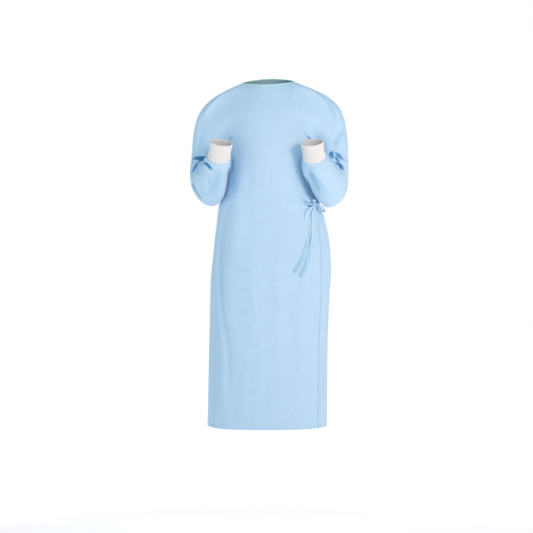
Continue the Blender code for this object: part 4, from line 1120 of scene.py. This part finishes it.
def knot_piece(finish):
    """The knot: a superellipsoid, |x|^p + |y|^p + |z|^p = 1, with the turns of the tie as slanted ridges on it."""
    middle, out, down, round_way = knot_frame()
    polar = np.linspace(0.02, np.pi - 0.02, KNOT_POINTS[0])[:, None]
    around = np.linspace(0, 2 * np.pi, KNOT_POINTS[1], endpoint=False)[None, :]
    ring = np.sin(polar)
    way = np.stack([ring * np.cos(around), ring * np.sin(around), np.cos(polar) + 0 * around], axis=-1)
    radius = (np.abs(way) ** KNOT_POWER).sum(-1) ** (-1 / KNOT_POWER)
    turns = np.cos(5 * (way[..., 2] + 0.45 * way[..., 0]) + 0.8)
    radius = radius * (0.90 + 0.10 * turns - 0.05 * np.cos(3 * around) * ring**2)
    local = way * radius[..., None] * np.array(KNOT_SIZE) / 2
    points = middle + local @ np.stack([round_way, out, -down])
    piece = closed_skin("tie_knot", points, finish, True, ends=True)
    piece.data.uv_layers.new(name="cut")
    return piece


class Number:
    """A number in a finish's nodes. Arithmetic on it adds Math nodes."""

    def __init__(self, finish, socket):
        self.finish, self.socket = finish, socket

    def with_math(self, operation, *values):
        return self.finish.math(operation, self, *values)

    def __add__(self, other):
        return self.with_math("ADD", other)

    __radd__ = __add__

    def __mul__(self, other):
        return self.with_math("MULTIPLY", other)

    __rmul__ = __mul__

    def __sub__(self, other):
        return self.with_math("SUBTRACT", other)

    def __rsub__(self, other):
        return self.finish.math("SUBTRACT", other, self)

    def sine(self):
        return self.with_math("SINE")

    def size(self):
        return self.with_math("ABSOLUTE")

    def between(self, low, high):
        """0 below low, 1 above high, and soft between them."""
        return self.finish.ranged(self, low, high)


class Finish:
    """A material and its Principled shader, with what an expression adds to it."""

    def __init__(self, name, **settings):
        self.material = bpy.data.materials.new(name)
        self.material.use_nodes = True
        self.tree = self.material.node_tree
        self.shader = self.tree.nodes["Principled BSDF"]
        for socket, value in settings.items():
            self.shade(socket.replace("_", " ").title(), value)

    def shade(self, socket, value):
        self.put(self.shader.inputs[socket], value)

    def put(self, socket, value):
        if isinstance(value, Number):
            value = value.socket
        if isinstance(value, bpy.types.NodeSocket):
            self.tree.links.new(value, socket)
        else:
            socket.default_value = value

    def node(self, kind, settings, sockets, output=0):
        """A node of any kind: its settings first, then the values and links of its sockets."""
        made = self.tree.nodes.new(kind)
        for name, value in settings.items():
            setattr(made, name, value)
        for name, value in sockets.items():
            self.put(made.inputs[name], value)
        return made.outputs[output]

    def math(self, operation, *values):
        return Number(self, self.node("ShaderNodeMath", {"operation": operation}, dict(enumerate(values))))

    def ranged(self, value, low, high):
        sockets = {"Value": value, "From Min": low, "From Max": high}
        return Number(self, self.node("ShaderNodeMapRange", {"interpolation_type": "SMOOTHSTEP"}, sockets))

    def place(self, stretch=(1, 1, 1), shift=(0, 0, 0)):
        """Object coordinates, stretched and then shifted."""
        here = self.node("ShaderNodeTexCoord", {}, {}, "Object")
        return self.node("ShaderNodeMapping", {}, {"Vector": here, "Location": shift, "Scale": stretch})

    def cut(self):
        """The lengths across and down the piece's own cut, in metres."""
        here = self.node("ShaderNodeUVMap", {"uv_map": "cut"}, {})
        return [Number(self, self.node("ShaderNodeSeparateXYZ", {}, {"Vector": here}, axis)) for axis in "XY"]

    def fold(self):
        """The piece's own share of depth in a fold, from 0 to 1, which sets its painted shade."""
        return Number(self, self.node("ShaderNodeAttribute", {"attribute_name": "fold"}, {}, "Fac"))

    def noise(self, where, scale, detail, roughness=0.55):
        sockets = {"Vector": where, "Scale": scale, "Detail": detail, "Roughness": roughness}
        return Number(self, self.node("ShaderNodeTexNoise", {}, sockets))

    def mix(self, share, first, second):
        """Two colours mixed by a share."""
        sockets = {0: share, 6: first, 7: second}
        return self.node("ShaderNodeMix", {"data_type": "RGBA"}, sockets, 2)

    def distance(self, stretch, shift):
        """How far a place is from where the stretched and shifted coordinates are nought."""
        where = self.place(stretch, shift)
        return Number(self, self.node("ShaderNodeVectorMath", {"operation": "LENGTH"}, {0: where}, "Value"))

    def pressed_points(self, across, down):
        """The fine grid of points at which nonwoven cloth is bonded: the product of two sines."""
        return ((across * POINT_RATE).sine() * (down * POINT_RATE).sine()).between(0.35, 0.8)

    def bump(self, height, distance):
        """A relief that the shader sees, as high in metres as its distance."""
        self.shade("Normal", self.node("ShaderNodeBump", {}, {"Height": height, "Distance": distance}))


def tinted(colour, tint):
    return tuple(channel * share for channel, share in zip(colour, tint))


def shaded(colour, by):
    return tinted(colour[:3], (by, by, by)) + (1.0,)


def blue_cloth(colour):
    """Bonded nonwoven cloth: a fine grid of pressed points, loose fibres, a cloudy web and soft small wrinkles. Down in
    a fold its colour is painted darker and bluer, as painted shade."""
    finish = Finish("blue_nonwoven", roughness=0.62, sheen_weight=0.25, sheen_roughness=0.45)
    across, down = finish.cut()
    web = finish.noise(finish.place(), scale=34.0, detail=5.0, roughness=0.6)
    cloud = finish.noise(finish.place((1, 1, 0.5)), scale=5.0, detail=2.0)
    points = finish.pressed_points(across, down)
    tint = finish.mix(web.between(0.3, 0.7) * 0.5 + cloud * 0.5, shaded(colour, 0.955), shaded(colour, 1.03))
    tint = finish.mix(points * 0.35, tint, shaded(colour, 0.90))
    # painted shade: down in a fold the cloth's colour is darkened and made bluer
    deep = tinted(colour, FOLD_PAINTED_SHADE)
    finish.shade("Base Color", finish.mix(finish.fold().between(0.1, 1.0), tint, deep))
    finish.shade("Roughness", 0.58 + 0.12 * web)
    wrinkle = finish.noise(finish.place((1, 1, 0.4)), scale=26.0, detail=2.0, roughness=0.45)
    finish.bump(wrinkle * 1.6 + web * 0.12 - points * 0.045, distance=0.0011)
    return finish.material


def tie_cloth(colour):
    """The same cloth folded into a strip: pressed points, painted shade along its two folded edges, and more painted
    shade, deeper in colour, further along it, mostly on its loose ends."""
    finish = Finish("blue_nonwoven_strip", roughness=0.6, sheen_weight=0.2, sheen_roughness=0.45)
    across, down = finish.cut()
    points = finish.pressed_points(across, down)
    # painted shade along the strip's two folded edges
    edge = across.size().between(0.0038, 0.0052)
    # painted shade: the strip darker from 0.07 m along its cut on, mostly on the loose ends
    deep = tinted(colour, STRIP_PAINTED_SHADE)
    tint = finish.mix(edge * 0.5, colour, shaded(colour, 0.86))
    tint = finish.mix(down.between(0.07, 0.22) * 0.7, tint, deep)
    finish.shade("Base Color", finish.mix(points * 0.3, tint, shaded(colour, 0.90)))
    wrinkle = finish.noise(finish.place(), scale=160.0, detail=2.0)
    finish.bump(wrinkle * 0.5 - points * 0.05, distance=0.0006)
    return finish.material


def white_knit(colour):
    """Rib knit: stitches as slanted loops along each rib, with painted shade in the valleys between the ribs."""
    finish = Finish("white_rib_knit", roughness=0.85, sheen_weight=0.3, sheen_roughness=0.5)
    around, down = finish.cut()
    rate = 2 * math.pi * CUFF_RIBS
    rib = (around * rate + math.pi / 2).sine()
    slant = (around * rate).sine() * 1.2
    stitch = (down * (2 * math.pi / STITCH_PITCH) + slant).sine()
    fuzz = finish.noise(finish.place(), scale=700.0, detail=2.0)
    # painted shade in the valleys between the ribs
    valley_shade = (0.0 - rib).between(0.1, 1.0)
    finish.shade("Base Color", finish.mix(valley_shade * 0.6, colour, shaded(colour, 0.80)))
    finish.bump(stitch * 0.18 + fuzz * 0.20 + rib * 0.25, distance=0.0005)
    return finish.material


def mint_binding(colour):
    """Smooth bound strip with a faint weave of its own."""
    finish = Finish("mint_strip", roughness=0.5, sheen_weight=0.15)
    weave = finish.noise(finish.place(), scale=420.0, detail=2.0)
    soft = finish.noise(finish.place(), scale=60.0, detail=2.0)
    finish.shade("Base Color", finish.mix(soft * 0.6, shaded(colour, 0.93), shaded(colour, 1.04)))
    finish.bump(weave * 0.3 + soft, distance=0.0003)
    return finish.material


def pale_floor(colour):
    """Matt studio floor, faintly uneven, that glows a little in front of the gown and more behind and beneath it, so
    that it runs into the white."""
    finish = Finish("studio_floor", roughness=0.9, emission_strength=1.0)
    uneven = finish.noise(finish.place(), scale=0.8, detail=2.0)
    glow = finish.mix(finish.distance((1, 1, 0), GLOW_SHIFT).between(*GLOW_REACH), GLOW_NEAR, GLOW_FAR)
    beneath = 1 - finish.distance(HEM_STRETCH, HEM_SHIFT).between(*HEM_REACH)
    finish.shade("Emission Color", finish.mix(beneath * HEM_GLOW, glow, WHITE))
    finish.shade("Base Color", finish.mix(uneven * 0.3, colour, shaded(colour, 0.97)))
    return finish.material


def colour_property(name, description, default):
    limits = {"size": 4, "min": 0, "max": 1}
    return FloatVectorProperty(name=name, description=description, subtype="COLOR", default=default, **limits)


def length_property(name, description, default):
    return FloatProperty(name=name, description=description, unit="LENGTH", subtype="DISTANCE", min=0, default=default)


def power_property(name, description, default):
    return FloatProperty(name=name, description=description, unit="POWER", default=default)


class GownSizes(PropertyGroup):
    """Sizes of the gown's cloth and finishing"""

    cloth_thickness: length_property("Cloth", "Thickness of the gown's cloth", 0.0007)
    cuff_thickness: length_property("Cuff", "Thickness of the cuffs' knit", 0.0018)
    rib_height: length_property("Ribs", "Height of the cuffs' ribs", 0.0004)
    binding_thickness: length_property("Binding", "Thickness of the neck binding's strip", 0.0006)
    tie_thickness: length_property("Tie", "Thickness of the folded waist tie", 0.0010)
    hem_depth: length_property("Hem", "Depth of the turned hems", 0.0075)
    fold_depth: FloatProperty(name="Folds", description="Depth of the folds; 1 is as worn", min=0, default=1)


class GownColours(PropertyGroup):
    """Colours of the gown's pieces"""

    cloth: colour_property("Cloth", "Colour of the gown's cloth", (0.50, 0.735, 0.92, 1.0))
    tie: colour_property("Tie", "Colour of the waist tie", (0.53, 0.76, 0.93, 1.0))
    knit: colour_property("Cuffs", "Colour of the knit cuffs", (0.88, 0.895, 0.875, 1.0))
    binding: colour_property("Binding", "Colour of the neck binding", (0.52, 0.90, 0.82, 1.0))


class StudioSettings(PropertyGroup):
    """Floor, light and background"""

    floor: colour_property("Floor", "Colour of the floor", (0.92, 0.92, 0.92, 1.0))
    key_power: power_property("Key light", "Power of the main soft light", 44.0)
    fill_power: power_property("Fill light", "Power of the soft light from the other side", 0.5)
    sky: FloatProperty(name="Sky", description="Strength of the even light from all round", min=0, default=0.66)


class GOWN_OT_body(Operator):
    """Make the front panel and the two lapping back panels, and the binding round their neckline"""

    bl_idname = "gown.body"
    bl_label = "Body panels and neck binding"

    def execute(self, context):
        sizes, colours = context.scene.gown_sizes, context.scene.gown_colours
        cloth = blue_cloth(colours.cloth)
        front, front_sunk = front_grid()
        outer_back, outer_sunk = back_grid(-1, "outer_turn", outer_lap)
        inner_back, inner_sunk = back_grid(1, "inner_turn", no_lap)
        for name, (points, sunk), flip in (
            ("front_panel", (front, front_sunk), False),
            ("back_panel_right", back_cloth(outer_back, outer_sunk, True), True),
            ("back_panel_left", back_cloth(inner_back, inner_sunk, False), False),
        ):
            cloth_piece(name, points, sizes.cloth_thickness, cloth, flip=flip, sunk=sunk)
        left, right = (sleeve_grid(arm)[0] for arm in ARMS)
        bound_neck(front, outer_back, inner_back, left, right, mint_binding(colours.binding))
        return {"FINISHED"}


class GOWN_OT_sleeves(Operator):
    """Make the two raglan sleeves, bent at the elbow"""

    bl_idname = "gown.sleeves"
    bl_label = "Sleeves"

    def execute(self, context):
        thickness = context.scene.gown_sizes.cloth_thickness
        cloth = blue_cloth(context.scene.gown_colours.cloth)
        for arm in ARMS:
            name = "sleeve_" + arm.name
            points, sunk = sleeve_cloth(arm)
            cloth_piece(name, points, thickness, cloth, True, arm.side > 0, sunk)
        return {"FINISHED"}


class GOWN_OT_cuffs(Operator):
    """Make the two rib knit cuffs"""

    bl_idname = "gown.cuffs"
    bl_label = "Cuffs"

    def execute(self, context):
        knit = white_knit(context.scene.gown_colours.knit)
        for arm in ARMS:
            knit_cuff(arm, knit)
        return {"FINISHED"}


class GOWN_OT_waist_tie(Operator):
    """Make the waist tie: its two straps, the knot, the bow's loops and the two loose ends"""

    bl_idname = "gown.waist_tie"
    bl_label = "Waist tie"

    def execute(self, context):
        finish = tie_cloth(context.scene.gown_colours.tie)
        knot_piece(finish)
        for make, table in ((strap, STRAPS), (bow_loop, BOW_LOOPS), (tail, TAILS)):
            for row in table:
                make(row, finish)
        return {"FINISHED"}


class GOWN_OT_studio(Operator):
    """Make the floor, the soft lights and the camera"""

    bl_idname = "gown.studio"
    bl_label = "Studio"

    def execute(self, context):
        scene, settings = context.scene, context.scene.gown_studio
        radii = np.linspace(0.02, 1, FLOOR_POINTS[0]) ** 2 * FLOOR_RADIUS
        turns = np.linspace(0, 2 * np.pi, FLOOR_POINTS[1] + 1)[:-1]
        radius, turn = np.meshgrid(radii, turns, indexing="ij")
        floor = np.stack([radius * np.cos(turn), radius * np.sin(turn), np.full_like(radius, FLOOR_HEIGHT)], axis=-1)
        mesh = cloth_mesh("studio_floor", floor, True, False)
        ground = bpy.data.objects.new("studio_floor", mesh)
        mesh.materials.append(pale_floor(settings.floor))
        scene.collection.objects.link(ground)
        for row in LAMPS:
            light = bpy.data.lights.new(row.name, "AREA")
            light.shape, light.size, light.color = "SQUARE", row.size, row.tint
            light.energy = getattr(settings, row.power)
            lamp = bpy.data.objects.new(row.name, light)
            lamp.location = row.place
            lamp.rotation_euler = (Vector(LIGHT_AIM) - Vector(row.place)).to_track_quat("-Z", "Y").to_euler()
            scene.collection.objects.link(lamp)
        sky = bpy.data.worlds.new("studio_sky")
        sky.use_nodes = True
        nodes, links = sky.node_tree.nodes, sky.node_tree.links
        background = nodes["Background"]
        background.inputs["Color"].default_value = SKY_TINT
        background.inputs["Strength"].default_value = settings.sky
        seen = nodes.new("ShaderNodeBackground")
        seen.inputs["Color"].default_value = WHITE
        path, mix = nodes.new("ShaderNodeLightPath"), nodes.new("ShaderNodeMixShader")
        links.new(path.outputs["Is Camera Ray"], mix.inputs["Fac"])
        links.new(background.outputs[0], mix.inputs[1])
        links.new(seen.outputs[0], mix.inputs[2])
        links.new(mix.outputs[0], nodes["World Output"].inputs["Surface"])
        scene.world = sky
        scene.view_settings.view_transform = "Standard"
        lens = bpy.data.cameras.new("camera")
        lens.lens = CAMERA_LENS
        camera = bpy.data.objects.new("camera", lens)
        camera.location = CAMERA_PLACE
        camera.rotation_euler = (math.pi / 2, 0.0, 0.0)
        scene.collection.objects.link(camera)
        scene.camera = camera
        return {"FINISHED"}


class GOWN_PT_sidebar(Panel):
    """Lists the gown's pieces, sizes and colours"""

    bl_idname = "GOWN_PT_sidebar"
    bl_label = "Surgical gown"
    bl_space_type = "VIEW_3D"
    bl_region_type = "UI"
    bl_category = "Gown"

    def draw(self, context):
        for step in STEPS:
            self.layout.operator(step.bl_idname)
        for group in (context.scene.gown_sizes, context.scene.gown_colours, context.scene.gown_studio):
            for name in group.bl_rna.properties.keys():
                if name not in ("rna_type", "name"):
                    self.layout.prop(group, name)


STEPS = (GOWN_OT_body, GOWN_OT_sleeves, GOWN_OT_cuffs, GOWN_OT_waist_tie, GOWN_OT_studio)
CLASSES = (GownSizes, GownColours, StudioSettings, *STEPS, GOWN_PT_sidebar)


def register():
    for item in CLASSES:
        bpy.utils.register_class(item)
    bpy.types.Scene.gown_sizes = PointerProperty(type=GownSizes)
    bpy.types.Scene.gown_colours = PointerProperty(type=GownColours)
    bpy.types.Scene.gown_studio = PointerProperty(type=StudioSettings)


def unregister():
    del bpy.types.Scene.gown_studio, bpy.types.Scene.gown_colours, bpy.types.Scene.gown_sizes
    for item in reversed(CLASSES):
        bpy.utils.unregister_class(item)


def main():
    register()
    bpy.ops.gown.studio()
    bpy.ops.gown.body()
    bpy.ops.gown.sleeves()
    bpy.ops.gown.cuffs()
    bpy.ops.gown.waist_tie()


if __name__ == "__main__":
    main()
